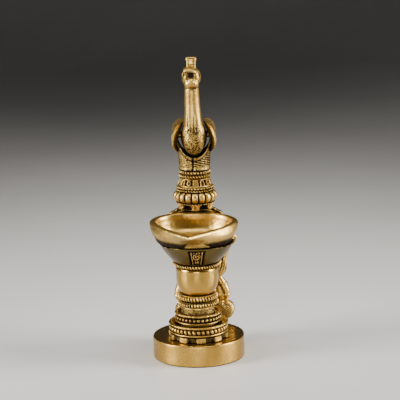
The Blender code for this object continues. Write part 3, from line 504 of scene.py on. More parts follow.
def tier_shape(node, strokes, slant, hub):
    """A tier. From its foot up: a bead, a groove, a bulging side with slanting leaves or round dots, a groove
    and a wide rim turned up round a shallow dish. A leaf is a cosine across the angle plus slant times z."""
    axis, radius, low, high = turned_size(node)
    foot = low + hub
    tall = high - foot

    def at(inset, share):
        """A corner this far inside the rim, at this share of the height."""
        return radius - inset, foot + tall * share

    corners = [(BORE, low), (radius - 0.003, low)] + ([(radius - 0.003, foot)] if hub else [])
    corners += [at(0.0012, 0), at(0.0003, 0.06), at(0.0002, 0.16), at(0.0014, 0.22), at(0.0009, 0.34)]
    corners += [at(0.0006, 0.48), at(0.0010, 0.62), at(0.0017, 0.70), at(0.0006, 0.78), at(0, 0.88)]
    corners += [at(0.0002, 0.97), at(0.0010, 1), at(0.0020, 0.98)]
    corners += [(radius - 0.0028, high - 0.0015), (BORE, high - 0.0017)]
    line = outline(corners, 130, plain=1, soft=1)

    def relief(a, r, z):
        share = (z - foot) / tall
        field = between(share, 0.27, 0.67, 0.05) * step(r, radius * 0.7, radius * 0.8)
        leaf = ripple(strokes * a + slant * (share - 0.47))
        if not slant:
            leaf = leaf * hump(share, 0.47, 0.24)
        leaf = leaf**0.8
        rim = between(share, 0.80, 1.1, 0.05) * step(r, radius * 0.9, radius * 0.94)
        wave = ripple(strokes * a)
        groove = hump(share, 0.22, 0.07) + hump(share, 0.70, 0.06)
        groove = groove * step(r, radius * 0.8, radius * 0.9)
        dish = (1 - step(r, radius - 0.0042, radius - 0.0026)) * step(share, 0.6, 0.7) * 0.75
        return field * leaf * 0.00055 + rim * (wave - 0.5) * 0.00022, field * (1 - leaf) + groove * 0.8 + dish

    return skin(*revolve(line, axis, 440, relief))


def ring_shape(node, ridges, neck, slant):
    """A flange with ridges like a gear's, on a plain neck. A ridge is a cosine across the angle plus slant
    times z."""
    axis, radius, low, high = turned_size(node)
    foot = high - neck if neck else low
    tall = high - foot
    throat = radius - 0.0027
    corners = [(BORE, low)] + ([(throat + 0.0005, low), (throat, foot - 0.0004)] if neck else [])
    corners += [(radius - 0.0020, foot), (radius - 0.0009, foot + tall * 0.12)]
    corners += [(radius - 0.0003, foot + tall * 0.4), (radius - 0.0006, foot + tall * 0.7)]
    corners += [(radius - 0.0017, high - 0.0002), (BORE, high)]
    line = outline(corners, 84, plain=2, soft=1)

    def relief(a, r, z):
        share = (z - foot) / tall
        field = between(share, 0.04, 0.86, 0.08) * step(r, radius - 0.0022, radius - 0.0012)
        ridge = ripple(ridges * a + slant * share) ** 0.8
        below = hump(share, 0, 0.16) * 0.8
        above = step(share, 0.85, 1.0) * 0.35 + step(-share, 0.15, 0.5) * 0.55
        return field * (ridge - 0.6) * 0.0009, field * (1 - ridge) ** 1.2 + below + above

    return skin(*revolve(line, axis, 484, relief))


def pot_shape():
    """A smooth pot. Over its lower part, at a height u from 0 to 1, the radius grows from the foot's to the
    full one by (1 - (1 - u)^2.2)^0.8."""
    axis, radius, low, high = turned_size("pot_stem")
    foot_radius = radius * 0.74
    u = np.linspace(0, 1, 18)
    fall = (high - low) * 0.62
    round_side = (1 - (1 - u) ** 2.2) ** 0.8
    belly = np.column_stack([foot_radius + (radius - foot_radius) * round_side, low + fall * u])
    corners = [(BORE, low), *belly.tolist(), (radius, high - 0.0012), (radius - 0.0003, high - 0.0005)]
    corners += [(radius - 0.0009, high), (BORE, high)]
    line = outline(corners, 110, plain=2, soft=2)

    def relief(a, r, z):
        lip = hump(z, low + 0.0008, 0.0004) * step(r, radius * 0.6, radius * 0.7)
        return -lip * 0.0001, lip * 0.5

    return skin(*revolve(line, axis, 256, relief))


def rope_shape():
    """A flat ring with a twisted edge: the push out is a cosine of the angle plus the height."""
    axis, radius, low, high = turned_size("rope_ring")
    corners = [(BORE, low), (radius - 0.0022, low), (radius - 0.0006, low + 0.0004), (radius, (low + high) / 2)]
    corners += [(radius - 0.0006, high - 0.0004), (radius - 0.0022, high), (BORE, high)]
    line = outline(corners, 56, plain=2, soft=1)

    def relief(a, r, z):
        share = (z - low) / (high - low)
        field = step(r, radius - 0.0024, radius - 0.0008)
        twist = ripple(54 * a + 3.2 * share) ** 0.8
        return field * (twist - 0.7) * 0.0006, field * (1 - twist)

    return skin(*revolve(line, axis, 594, relief))


# ---------------------------------------------------------------- cup, panel and bowl


def cup_shape():
    """The cup: a cone whose side swells a little, a scalloped rim, and a pocket in front for the niche panel.

    The rear is flattened where the back plate stands, by a limit on y."""
    low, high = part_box("lotus_cup")
    foot_radius, radius, wall, floor = 0.0135, (high.x - low.x) / 2, 0.0032, 0.0030
    tall = high.z - low.z
    t = np.linspace(0, 1, 9)
    outer = foot_radius + (radius - foot_radius) * (t + 0.35 * t * (1 - t))
    up = np.column_stack([outer, low.z + tall * t])
    down = np.column_stack([outer - wall, low.z + tall * t])[::-1]
    down = down[(down[:, 1] < high.z - 0.001) & (down[:, 1] > low.z + floor + 0.0008)]
    rim = [(radius - wall * 0.2, high.z), (radius - wall * 0.7, high.z - 0.0003)]
    corners = [(BORE, low.z), *up.tolist(), *rim, *down.tolist(), (foot_radius - wall, low.z + floor)]
    line = outline([*corners, (BORE, low.z + floor)], 160, plain=1, soft=2)
    pocket_top, pocket_foot = high.z - 0.0013, low.z + 0.0005
    scallops, count = 26, 540

    def relief(a, r, z):
        share = (z - low.z) / tall
        outside = step(r, np.interp(share, t, outer) - wall * 0.45, np.interp(share, t, outer) - wall * 0.3)
        x = r * np.sin(a)
        half = 0.0038 + 0.0016 * share
        pocket = (1 - step(np.abs(x), half - 0.0001, half + 0.0001)) * (np.cos(a) > 0) * outside
        pocket = pocket * between(z, pocket_foot, pocket_top, 0.0001)
        lip = step(share, 0.90, 0.97)
        wavy = step(np.abs(np.sin(a)), 0.45, 0.8)
        scallop = np.cos(scallops * a) * lip * wavy
        return scallop * 0.00035 - pocket * 0.0016, pocket + lip * wavy * (0.2 - 0.2 * np.cos(scallops * a))

    grid, hollow = revolve(line, STEM, count, relief)
    rise = step(grid[..., 2], high.z - 0.0014, high.z) * 0.00035
    a = angles(count)[None, :]
    grid[..., 2] += rise * (np.cos(scallops * a) - 1) * step(np.abs(np.sin(a)), 0.45, 0.8)
    grid[..., 1] = np.minimum(grid[..., 1], high.y)
    return skin(grid, hollow)


def panel_shape():
    """The niche panel: a slab on the cup's slope, with a bead row on top, a scroll and a leaf below."""
    low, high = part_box("niche_panel")
    rows, columns = 90, 60
    t = np.linspace(0, 1, rows)[:, None]
    s = np.linspace(-1, 1, columns)[None, :]
    half = 0.0024 + (high.x + 0.0003 - 0.0024) * t
    z = low.z + (high.z - low.z) * t
    front = np.interp(t, [0, 1], [STEM[1] - 0.0148, low.y + 0.0001]) + 0.0004
    x = half * s
    beads = hump(t, 0.93, 0.09) * ripple(s * 14)
    radius = np.hypot(s * 1.15, (t - 0.58) * 3.4)
    scroll = (1 - step(radius, 0.85, 1.05)) * ripple(radius * 13 + np.arctan2((t - 0.58) * 3, s))
    leaf = hump(t, 0.18, 0.20) * hump(np.abs(s), 0.25, 0.3)
    frame_line = step(np.abs(s), 0.78, 0.9)
    raised = np.maximum.reduce(np.broadcast_arrays(beads, scroll, leaf, frame_line * 0.8))
    y = front - raised * 0.0006
    back = np.interp(t, [0, 1], [STEM[1] - 0.0128, low.y + 0.0013]) + 0 * s
    outer = np.stack([x, y + 0 * x, z + 0 * x], -1)
    inner = np.stack([x[:, ::-1], back, z + 0 * x], -1)
    rings = np.concatenate([outer, inner], axis=1)
    hollow = np.concatenate([1 - raised, 0 * raised + 1], axis=1)
    return capped(rings, hollow)


def leaf_ring(half_width, back, spout, z, point, dip, turn, count):
    """Rows of points, one row for each level of the bowl.

    Behind the axis it is half an ellipse. Ahead, at a distance d the half width is
    half_width (1 - (d / spout)^p)^q: point 0 makes a round end and point 1 a sharp one."""
    a = angles(count)[None, :]
    quarter = count / 4
    share = np.minimum(np.arange(count), count - np.arange(count))[None, :] / quarter
    behind = np.cos(a) <= 0
    ahead = spout * np.maximum(np.cos(np.minimum(share, 1) * np.pi / 2), 0) ** (1 - 0.35 * point)
    reach = np.clip(1 - (ahead / spout) ** (2 - 0.45 * point), 0, 1) ** (0.5 + 0.5 * point)
    x = np.where(behind, half_width * np.sin(a), np.sign(np.sin(a)) * half_width * reach)
    y = np.where(behind, -back * np.cos(a), -ahead)
    across = x * cos(turn) - y * sin(turn)
    along = x * sin(turn) + y * cos(turn)
    return np.stack([across + STEM[0] + BOWL_SHIFT, along + STEM[1], z + dip * along], -1)


def bowl_shape(sizes):
    """The oil bowl: floor, inner wall, rolled lip, hull and boss, as leaf-shaped levels joined by a curve.

    Rows of numbers are the height's share, how far the side, the back and the spout are drawn in, the spout's
    sharpness and the share of the rim's dip. The hull's lower part is darkened as painted shade, apart from a
    wedge under the spout whose sides run out from the tip, left lighter as a painted reflection, with painted
    shade along one side."""
    wall = sizes.bowl_wall
    inside = [
        (0.150, 0.0226, 0.0159, 0.0310, 0.0, 0.0),
        (0.155, 0.0190, 0.0130, 0.0270, 0.0, 0.0),
        (0.175, 0.0130, 0.0092, 0.0205, 0.1, 0.0),
        (0.230, 0.0078, 0.0056, 0.0140, 0.3, 0.1),
        (0.400, 0.0034, 0.0021, 0.0078, 0.7, 0.4),
        (0.700, 0.0019, 0.0008, 0.0044, 0.9, 0.8),
        (0.900, 0.0013, 0.0005, 0.0032, 1.0, 1.0),
        (0.972, 0.0006, 0.0002, 0.0016, 1.0, 1.0),
    ]
    outside = [
        (1.00, 0.0018, 0.0014, 0.0026, 1.0, 1.0),
        (0.985, 0.0008, 0.0007, 0.0012, 1.0, 1.0),
        (0.925, 0.0001, 0.0001, 0.0002, 1.0, 1.0),
        (0.86, 0.0000, 0.0000, 0.0008, 0.94, 1.0),
        (0.77, 0.0001, 0.0001, 0.0032, 0.72, 0.95),
        (0.67, 0.0004, 0.0004, 0.0058, 0.48, 0.85),
        (0.56, 0.0010, 0.0009, 0.0082, 0.30, 0.7),
        (0.44, 0.0020, 0.0017, 0.0102, 0.17, 0.5),
        (0.32, 0.0030, 0.0023, 0.0117, 0.08, 0.3),
        (0.24, 0.0036, 0.0027, 0.0125, 0.05, 0.15),
        (0.180, 0.0040, 0.0031, 0.0130, 0.0, 0.0),
        (0.158, 0.0046, 0.0036, 0.0138, 0.0, 0.0),
        (0.140, 0.0064, 0.0045, 0.0156, 0.0, 0.0),
        (0.11, 0.0084, 0.0056, 0.0176, 0.0, 0.0),
        (0.05, 0.0125, 0.0082, 0.0215, 0.0, 0.0),
        (0.00, 0.0185, 0.0120, 0.0280, 0.0, 0.0),
    ]
    inside = [(s, a + wall, b + wall, c + wall * 1.2, p, d) for s, a, b, c, p, d in inside]
    table = np.array(inside + outside)
    levels, count = 150, 360
    share, side, rear, tip, point, dip = (column[:, None] for column in curve(table, levels).T)
    half = sizes.bowl_half_width - side
    back = sizes.bowl_back - rear
    spout = sizes.bowl_spout - tip
    z = sizes.bowl_floor + sizes.bowl_height * share
    point = np.clip(point, 0, 1)
    dip = sizes.bowl_dip * np.clip(dip, 0, 1)
    rings = leaf_ring(half, back, spout, z, point, dip, sizes.bowl_turn, count)
    a = angles(count)

    def round_ring(r, h):
        """A circle of radius r round the stem at height h."""
        return np.column_stack([STEM[0] + r * np.sin(a), STEM[1] - r * np.cos(a), 0 * a + h])[None]

    foot, boss, boss_radius, bore_top = sizes.bowl_floor, BOWL_LOW.z, 0.0052, BOWL_LOW.z + 0.0058
    lower = [round_ring(boss_radius, foot - 0.0002), round_ring(boss_radius, boss), round_ring(BORE, boss)]
    lower += [round_ring(BORE, bore_top), round_ring(0, bore_top)]
    first = round_ring(0, sizes.bowl_floor + sizes.bowl_height * 0.15)
    grid = np.concatenate([first, rings, *lower])
    height = (z - sizes.bowl_floor) / sizes.bowl_height
    row = np.arange(levels)[:, None] / levels
    crease = hump(row, 0.385, 0.02) * 0.35
    outer = row > 0.42
    # Painted shade: the hull darkens below about two thirds of the bowl's height, fully below a third.
    under = step(-height, -0.64, -0.30) * outer * 0.80
    seat = hump(row, 0.27, 0.06) * 0.2
    # Painted reflection: a wedge under the spout's tip, widening downwards, is left lighter than the shaded
    # hull.
    below_tip = np.clip((0.86 - height) / 0.69, 0, 1)
    from_tip = ((a + np.pi) % TAU - np.pi)[None, :] - 0.16 * below_tip
    reach = 0.04 + 0.34 * below_tip
    facet_reflection = step(-np.abs(from_tip), -reach - 0.03, -reach + 0.03) * outer * (below_tip > 0)
    # Painted shade: a darker line along one side of that wedge.
    edge = hump(from_tip, -reach, 0.10) * step(below_tip, 0.15, 0.3) * outer * 0.35
    hollow = crease + under * (1 - facet_reflection) + facet_reflection * below_tip * 0.36 + edge + seat
    hollow = np.vstack([0 * a[None], hollow, np.full((len(lower), count), 0.5)])
    return skin(grid, hollow, close_rows=False)


# ---------------------------------------------------------------- back plate and figure


def plate_half_width(z):
    """The plate's half width at a height: a pillar, a wide arch, and shoulders drawn in again."""
    arch, top = PLATE_HIGH.z * 0.56, PLATE_HIGH.z
    t = np.clip((z - arch) / (top - 0.0026 - arch), 0, 1)
    pillar, wide = 0.0075, PLATE_HIGH.x
    width = pillar + (wide - pillar) * np.sin(np.minimum(t / 0.55, 1) * np.pi / 2)
    width = width - (wide - 0.0156) * (np.clip(t - 0.55, 0, None) / 0.45) ** 2
    end = step(z, top - 0.0026, top)
    return width * (1 - end) + 0.0118 * end


def plate_shape():
    """The back plate and its rib. Across the plate, the distance d from the edge sets the relief:
    a bead at the edge, a groove, a row of dots, and rays in the field of the arch."""
    front, back = PLATE_LOW.y, PLATE_LOW.y + PLATE_THICKNESS
    cut = 0.0006
    rows, columns = 300, 110
    z = np.linspace(PLATE_LOW.z, PLATE_HIGH.z, rows)[:, None]
    s = np.linspace(-1, 1, columns)[None, :]
    half = plate_half_width(z)
    x = half * s
    d = half - np.abs(x)
    edge = hump(d, 0.0008, 0.0009)
    dots = hump(d, 0.0027, 0.0008) * ripple(z * 4200)
    middle = PLATE_HIGH.z * 0.72
    angle = np.arctan2(x, z - middle)
    far = np.hypot(x, z - middle)
    rays = ripple(angle * 16) * step(d, 0.0034, 0.0040) * step(far, 0.004, 0.006)
    flower = ripple(angle * 8) * (1 - step(far, 0.004, 0.0055)) * step(far, 0.001, 0.002)
    raised = np.clip(edge + dots * 0.8 + rays * 0.6 + flower, 0, 1) * step(z, 0.02, 0.024)
    near_face = np.stack([x, front + cut - raised * cut, z + 0 * x], -1)
    far_face = np.stack([x[:, ::-1], back - cut + raised[:, ::-1] * cut, z + 0 * x], -1)
    rings = np.concatenate([near_face, far_face], axis=1)
    hollow = np.concatenate([1 - raised, 1 - raised[:, ::-1]], axis=1) * 0.8
    slab = capped(rings, hollow)
    radius, foot = 0.0046, PLATE_HIGH.z - 0.0252
    rib = [(0, foot), (radius * 0.6, foot), (radius, foot + 0.004), (radius, PLATE_HIGH.z), (0, PLATE_HIGH.z)]

    def relief(a, r, z):
        side = step(r, radius * 0.8, radius)
        turns = ripple(z * 3600) * side
        return -0.0003 * (1 - turns) * side, (1 - turns) * side

    column = revolve(outline(rib, 150, soft=2, closed=False), COLUMN, 64, relief)
    return joined([slab, skin(*column, close_rows=False)])


def figure_parts():
    """The seated figure's masses. It sits cross-legged with its back to the plate, lifts a bud in each rear
    hand and holds two front hands in its lap. Rows of numbers are x, y, z and radius."""
    low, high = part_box("seated_figure")
    x = (low.x + high.x) / 2
    y = PLATE_LOW.y + PLATE_THICKNESS + FIT
    z = SEAT_Z
    face = z + 0.0379
    shoulder = z + 0.0299
    parts = [
        orb((x, y + 0.0038, z + 0.0190), (0.0094, 0.0056, 0.0130)),
        orb((x, y + 0.0062, z + 0.0150), (0.0086, 0.0056, 0.0082)),
        orb((x, y + 0.0052, face), (0.0070, 0.0048, 0.0072)),
        orb((x, y + 0.0074, face - 0.0006), (0.0042, 0.0034, 0.0046)),
    ]
    shins = [
        (x - 0.0120, y + 0.0026, z + 0.0052, 0.0046),
        (x - 0.008, y + 0.0060, z + 0.0044, 0.0047),
        (x, y + 0.0078, z + 0.0038, 0.0042),
        (x + 0.008, y + 0.0060, z + 0.0044, 0.0047),
        (x + 0.0146, y + 0.0026, z + 0.0052, 0.0046),
    ]
    parts.append(limb(shins, 60, squareness=14))
    crown = [(0, 0), (0.0056, 0), (0.0058, 0.0016), (0.0042, 0.0030), (0.0044, 0.0040)]
    crown += [(0.0028, 0.0058), (0.0018, 0.0078), (0, 0.0094)]
    line = outline(crown, 90, soft=1, closed=False) + np.array([0, face + 0.0048])
    parts.append(skin(*revolve(line, (x, y + 0.0056), 48), close_rows=False))
    trunk = [
        (x, y + 0.0082, face + 0.001, 0.0030),
        (x, y + 0.0100, face - 0.006, 0.0026),
        (x - 0.0006, y + 0.0100, face - 0.0115, 0.0022),
        (x - 0.0026, y + 0.0094, face - 0.0152, 0.0019),
        (x - 0.0050, y + 0.0088, face - 0.0150, 0.0016),
    ]
    parts.append(limb(trunk, 60))
    for side in (-1, 1):

        def at(out, ahead, height, *radius):
            """A place on this side of the figure, with a radius where one is given."""
            return (x + side * out, y + ahead, height, *radius)

        front_arm = [
            at(0.0088, 0.0038, shoulder - 0.0008, 0.0029),
            at(0.0128, 0.0030, shoulder - 0.0070, 0.0028),
            at(0.0142, 0.0036, shoulder - 0.0128, 0.0025),
            at(0.0110, 0.0068, shoulder - 0.0160, 0.0022),
            at(0.0078, 0.0088, z + 0.0126, 0.0022),
        ]
        parts.append(limb(front_arm, 60))
        parts.append(orb(at(0.0106, 0.0026, shoulder - 0.0090), (0.0038, 0.0018, 0.0085)))
        parts.append(orb(at(0.0062, 0.0094, z + 0.0122), (0.0024, 0.0018, 0.0022)))
        knee = 0.0140 if side > 0 else 0.0112
        thigh = [at(0.0060, 0.0052, z + 0.0092, 0.0052), at(knee, 0.0030, z + 0.0082, 0.0050)]
        parts.append(limb(thigh, 40, squareness=5))
        parts.append(orb(at(knee, 0.0034, z + 0.0076), (0.0050, 0.0042, 0.0064), lean=side * 0.5))
        rear_arm = [
            at(0.0078, 0.0038, shoulder - 0.001, 0.0026),
            at(0.0124, 0.0026, shoulder + 0.0050, 0.0022),
            at(0.0138, 0.0034, shoulder + 0.0110, 0.0019),
            at(0.0160, 0.0036, z + 0.0478, 0.0017),
            at(0.0176, 0.0036, z + 0.0500, 0.0016),
        ]
        parts.append(limb(rear_arm, 60))
        parts.append(orb(at(0.0178, 0.0034, z + 0.0531), (0.0028, 0.0028, 0.0048), lean=side * 0.15))
        for petal in (-1, 1):
            place = (x + side * 0.0178 + petal * 0.0020, y + 0.0036, z + 0.0510)
            parts.append(orb(place, (0.0012, 0.0022, 0.0034), lean=petal * 0.5))
        parts.append(orb(at(0.0100, 0.0026, face - 0.0032), (0.0052, 0.0018, 0.0060), lean=side * 0.15))
        tusk = [at(0.0030, 0.0086, face - 0.0040, 0.0009), at(0.0044, 0.0104, face - 0.0056, 0.0006)]
        parts.append(limb(tusk, 20, 10))
        parts.append(orb(at(0.0036, 0.0090, face + 0.0012), (0.0010, 0.0007, 0.0007)))
    parts.append(orb((x, y + 0.0112, z + 0.0066), (0.0040, 0.0020, 0.0022)))
    return parts, (x, y, z, face, shoulder)


def figure_shape(voxel):
    """The figure's masses fused, then chased: cloth folds on the legs, an armlet, a belt, a necklace,
    ribbed ears and rings round the trunk, each a cosine of distance along the body."""
    parts, (x, y, z, face, shoulder) = figure_parts()
    points, faces, normal = fused(parts, voxel, 3)
    px, py, pz = points.T
    across, depth = px - x, py - y
    legs = 1 - step(pz, z + 0.0118, z + 0.0132)
    folds = ripple(np.hypot(across, (pz - z - 0.02) * 1.5) * TAU / 0.0013) * legs
    belt = hump(pz, z + 0.0128, 0.0010) * (np.abs(across) < 0.009) * (0.6 + 0.4 * np.cos(across * 5200))
    chain_z = shoulder - 0.0030 - 0.0055 * (1 - np.clip(np.abs(across) / 0.008, 0, 1) ** 2)
    chain = hump(pz, chain_z, 0.0008) * (np.abs(across) < 0.0085) * (0.6 + 0.4 * np.cos(across * 6000))
    armlet = hump(pz, shoulder - 0.0052, 0.0009) + hump(pz, shoulder - 0.0125, 0.0009)
    armlet = armlet * (np.abs(across) > 0.0096)
    ears = (np.abs(across) > 0.0062) * (np.abs(across) < 0.0150) * hump(pz, face - 0.0032, 0.0066)
    ribs = ripple(np.hypot(across, pz - face) * TAU / 0.0016)
    nose = (depth > 0.0090) * (pz < face - 0.001) * (pz > face - 0.0175) * (np.abs(across + 0.001) < 0.006)
    rings = ripple(pz * TAU / 0.0012)
    crown = step(pz, face + 0.0052, face + 0.006) * (np.abs(across) < 0.008)
    bands = ripple(pz * TAU / 0.0016)
    buds = (pz > z + 0.047) * (np.abs(across) > 0.012)
    veins = ripple(np.arctan2(np.abs(across) - 0.0178, depth - 0.0034) * 7)
    push = 0.00028 * (folds - 0.5 * legs) + 0.0004 * (belt + chain + armlet)
    push += -0.00022 * (ears * (1 - ribs) + nose * (1 - rings) + crown * (1 - bands) + buds * (1 - veins))
    hollow = legs * (1 - folds) * 0.9 + ears * (1 - ribs) * 0.7 + nose * (1 - rings) * 0.6
    hollow += crown * (1 - bands) * 0.8 + buds * (1 - veins) * 0.6
    points = points + normal * push[:, None]
    points[:, 1] = np.maximum(points[:, 1], y - 0.0001)
    points[:, 2] = np.maximum(points[:, 2], z)
    return points, faces, hollow


# ---------------------------------------------------------------- column


def petal_shape():
    """The capital under the knop: a flaring cup with six dark arches cut in it, a scroll over each pillar
    between them, and a flat lip. An arch is where the cosine of six times the angle falls below a limit
    that rises with the height."""
    axis, radius, low, high = turned_size("petal_cup")
    tall = high - low
    corners = [(STUD_BORE, low), (radius * 0.96, low), (radius * 0.97, low + tall * 0.14)]
    corners += [(radius * 0.88, low + tall * 0.24), (radius * 0.88, low + tall * 0.5)]
    corners += [(radius * 0.95, low + tall * 0.78), (radius, low + tall * 0.86)]
    corners += [(radius * 0.97, high), (STUD_BORE, high)]
    line = outline(corners, 90, plain=2, soft=2)

    def relief(a, r, z):
        share = (z - low) / tall
        arch = step(-np.cos(6 * a) - 0.9 * share, -0.55, -0.1) * between(share, 0.02, 0.84, 0.06)
        arch = arch * step(r, radius * 0.8, radius * 0.86)
        flute = ripple(36 * a) * between(share, 0.2, 0.8, 0.06) * (1 - arch)
        scroll = hump(share, 0.5, 0.35) * step(np.cos(6 * a), 0.3, 0.8)
        lip = between(share, 0.8, 1.2, 0.04) * step(r, radius * 0.8, radius * 0.9)
        bead = ripple(42 * a)
        push = -arch * 0.0032 + scroll * 0.0007 - flute * 0.0003 + lip * (bead - 0.7) * 0.0003
        return push, arch * 1.2 + flute * 0.35 + lip * (1 - bead) * 0.7

    return skin(*revolve(line, axis, 432, relief))


def knop_shape():
    """The ribbed knop: a squashed ball whose radius follows the absolute cosine of nine times the angle."""
    axis, radius, low, high = turned_size("amla_knop")
    tall = high - low
    t = np.linspace(-np.pi / 2, np.pi / 2, 30)
    middle = (low + high) / 2
    bulge = np.column_stack([radius - tall * 0.5 * (1 - np.cos(t)) * 0.95, middle + tall / 2 * np.sin(t)])
    line = outline([(STUD_BORE, low), *bulge.tolist(), (STUD_BORE, high)], 90, plain=2, soft=1)

    def relief(a, r, z):
        share = np.abs(z - middle) / (tall / 2)
        side = step(r, radius * 0.6, radius * 0.8)
        rib = np.abs(np.cos(9 * a + 0.15))
        groove = (1 - rib) ** 1.6
        return side * (-0.0016 * groove) * (1 - 0.4 * share), side * groove * 1.1 + step(share, 0.86, 1) * 0.4

    return skin(*revolve(line, axis, 450, relief))


def band_shape(node, dots, twist):
    """A moulded band: a twisted bead below, a groove, and a row of dots above."""
    axis, radius, low, high = turned_size(node)
    tall = high - low
    bore = STUD_BORE if node == "band_lower" else DOWEL_BORE
    corners = [(bore, low), (radius - 0.0008, low), (radius, low + tall * 0.18), (radius, low + tall * 0.34)]
    corners += [(radius - 0.0014, low + tall * 0.46), (radius - 0.0014, low + tall * 0.54)]
    corners += [(radius - 0.0003, low + tall * 0.66), (radius - 0.0003, low + tall * 0.84)]
    corners += [(radius - 0.0012, high), (bore, high)]
    line = outline(corners, 90, plain=2, soft=1)

    def relief(a, r, z):
        share = (z - low) / tall
        side = step(r, radius - 0.0020, radius - 0.0010)
        lower, upper = between(share, 0.05, 0.42, 0.06), between(share, 0.60, 0.92, 0.06)
        rope = ripple(twist * a + share * 9) * lower
        bead = ripple(dots * a) * upper
        groove = hump(share, 0.5, 0.10) + step(share, 0.92, 1) * 0.5
        push = (rope - 0.5 * lower) * 0.0005 + (bead - 0.5 * upper) * 0.0005
        return side * push, side * (lower - rope + (upper - bead) * 0.8 + groove)

    return skin(*revolve(line, axis, 440, relief))


def drum_shape():
    """The drum: fourteen upright panels between dark slots, with a plain face, an arch or an open scroll raised
    on each in turn. Panel coordinates u and v run from -1 to 1 across and up a panel."""
    axis, radius, low, high = turned_size("niche_drum")
    tall = high - low
    top_radius = radius * 0.87
    panels = 14
    kinds = np.array([0, 1, 2, 0, 1, 2, 0, 1, 2, 0, 1, 0, 1, 2])  # 0 plain, 1 arch, 2 scroll
    corners = [(STUD_BORE, low), (radius, low), (radius - 0.0002, low + 0.0004)]
    corners += [(radius - 0.0007, low + 0.0007), (top_radius - 0.0004, high - 0.0007)]
    corners += [(top_radius + 0.0002, high - 0.0004), (top_radius, high), (DOWEL_BORE, high)]
    line = outline(corners, 90, plain=2, soft=1)

    def relief(a, r, z):
        turn = a / TAU * panels + 0.417
        number = np.floor(turn)
        u = (turn - number - 0.5) * 2
        v = (z - low) / tall * 2 - 1
        side = step(r, top_radius * 0.86, top_radius * 0.93) * (1 - step(np.abs(v), 0.70, 0.80))
        slot = step(np.abs(u), 0.74, 0.86)
        reach = np.hypot(u * 1.5, v * 1.35)
        scroll = hump(reach, 0.72, 0.32) * (1 - hump(np.arctan2(v, u), -0.2, 1.0))
        arch = hump(np.hypot(u * 1.4, np.maximum(v, 0)), 0.72, 0.3)
        kind = kinds[(number % panels).astype(int)]
        figure = np.where(kind == 2, scroll, np.where(kind == 1, arch, 0.9))
        push = side * (-0.0012 * slot + (1 - slot) * 0.0005 * figure)
        return push, side * np.maximum(slot * 1.2, (1 - figure) * 0.75 * (1 - slot))

    return skin(*revolve(line, axis, 560, relief))


# ---------------------------------------------------------------- cradle, bird and wings


def cradle_shape(side):
    """One leaf of the cradle: half a drum whose top is hollowed by the bird's belly.

    At a radius r and angle a the top is the trough's height at x = r sin a. The section goes out along the
    bottom, up the side, in along the top and down the bore, and the edge of the top is rolled outwards."""
    low, high = CRADLE_LOW.z, CRADLE_HIGH.z
    foot, top = 0.0090, 0.0100
    count = 220
    swing = np.linspace(0.028, np.pi - 0.028, count)[:, None]
    a = swing * side - 0.10

    def rim_z(radius):
        """The top's height at a radius."""
        x = np.abs(radius * np.sin(a)) / (BODY_HALF_WIDTH + 0.0015)
        trough = BODY_Z - (BODY_HALF_HEIGHT + FIT) * np.sqrt(np.clip(1 - x * x, 0, 1))
        tip = hump(swing, np.pi / 2, 0.85) * 0.0042
        return np.minimum(trough, high - 0.0026 + tip)

    up = np.linspace(0, 1, 60)[None, :]
    out = np.linspace(0, 1, 10)[None, :]
    inward = np.linspace(1, 0, 46)[None, :]
    edge = rim_z(top)
    side_z = low + (edge - low) * up
    reach = foot + (top - foot) * np.clip((side_z - low) / (high - low), 0, 1) ** 0.7
    flare = hump(side_z, low, 0.0016) * 0.0003
    roll = np.exp(-(((edge - side_z) / 0.0009) ** 2)) * 0.0006
    stem_line = np.minimum(swing, np.pi - swing)
    beside_seam = hump(stem_line, 0.09, 0.07) * 0.0003
    side_r = reach + flare + roll + beside_seam
    top_r = DOWEL_BORE + (side_r[:, -1:] - DOWEL_BORE) * inward
    top_z = rim_z(top_r)
    bottom_r = DOWEL_BORE + (foot + flare[:, :1] - DOWEL_BORE) * out
    r = np.concatenate([bottom_r + 0 * a, side_r, top_r], axis=1)
    z = np.concatenate([low + 0 * bottom_r + 0 * a, side_z, top_z], axis=1)
    points = np.stack([COLUMN[0] + r * np.sin(a), COLUMN[1] - r * np.cos(a), z], -1)
    hatch = ripple(side_z * TAU / 0.0014 + swing * 12) * step(edge - side_z, 0.0018, 0.003)
    hatch = hatch * (0.4 + 0.6 * (side > 0)) * step(side_z, low + 0.002, low + 0.003)
    below_rim = hump(edge - side_z, 0.0020, 0.0007) * 0.7
    foot_line = hump(side_z, low, 0.0008) * 0.7
    seam = (1 - step(stem_line, 0.03, 0.07)) * 0.8
    hollow = np.clip(hatch * 0.6 + 0.30 + below_rim + foot_line + seam, 0, 1)
    hollow = np.concatenate([0 * bottom_r + 0 * a + 0.6, hollow, 0 * top_r + 0.9 * (1 - inward**10)], axis=1)
    return capped(points, hollow)


def bird_frame():
    """The bird's main places: the body's y and z, the neck's z at its foot, and the head's y and z."""
    neck_z = BODY_Z + BODY_HALF_HEIGHT * 0.55
    return COLUMN[1] + 0.0020, BODY_Z, neck_z, COLUMN[1] - 0.0065, BIRD_HIGH.z - 0.0060


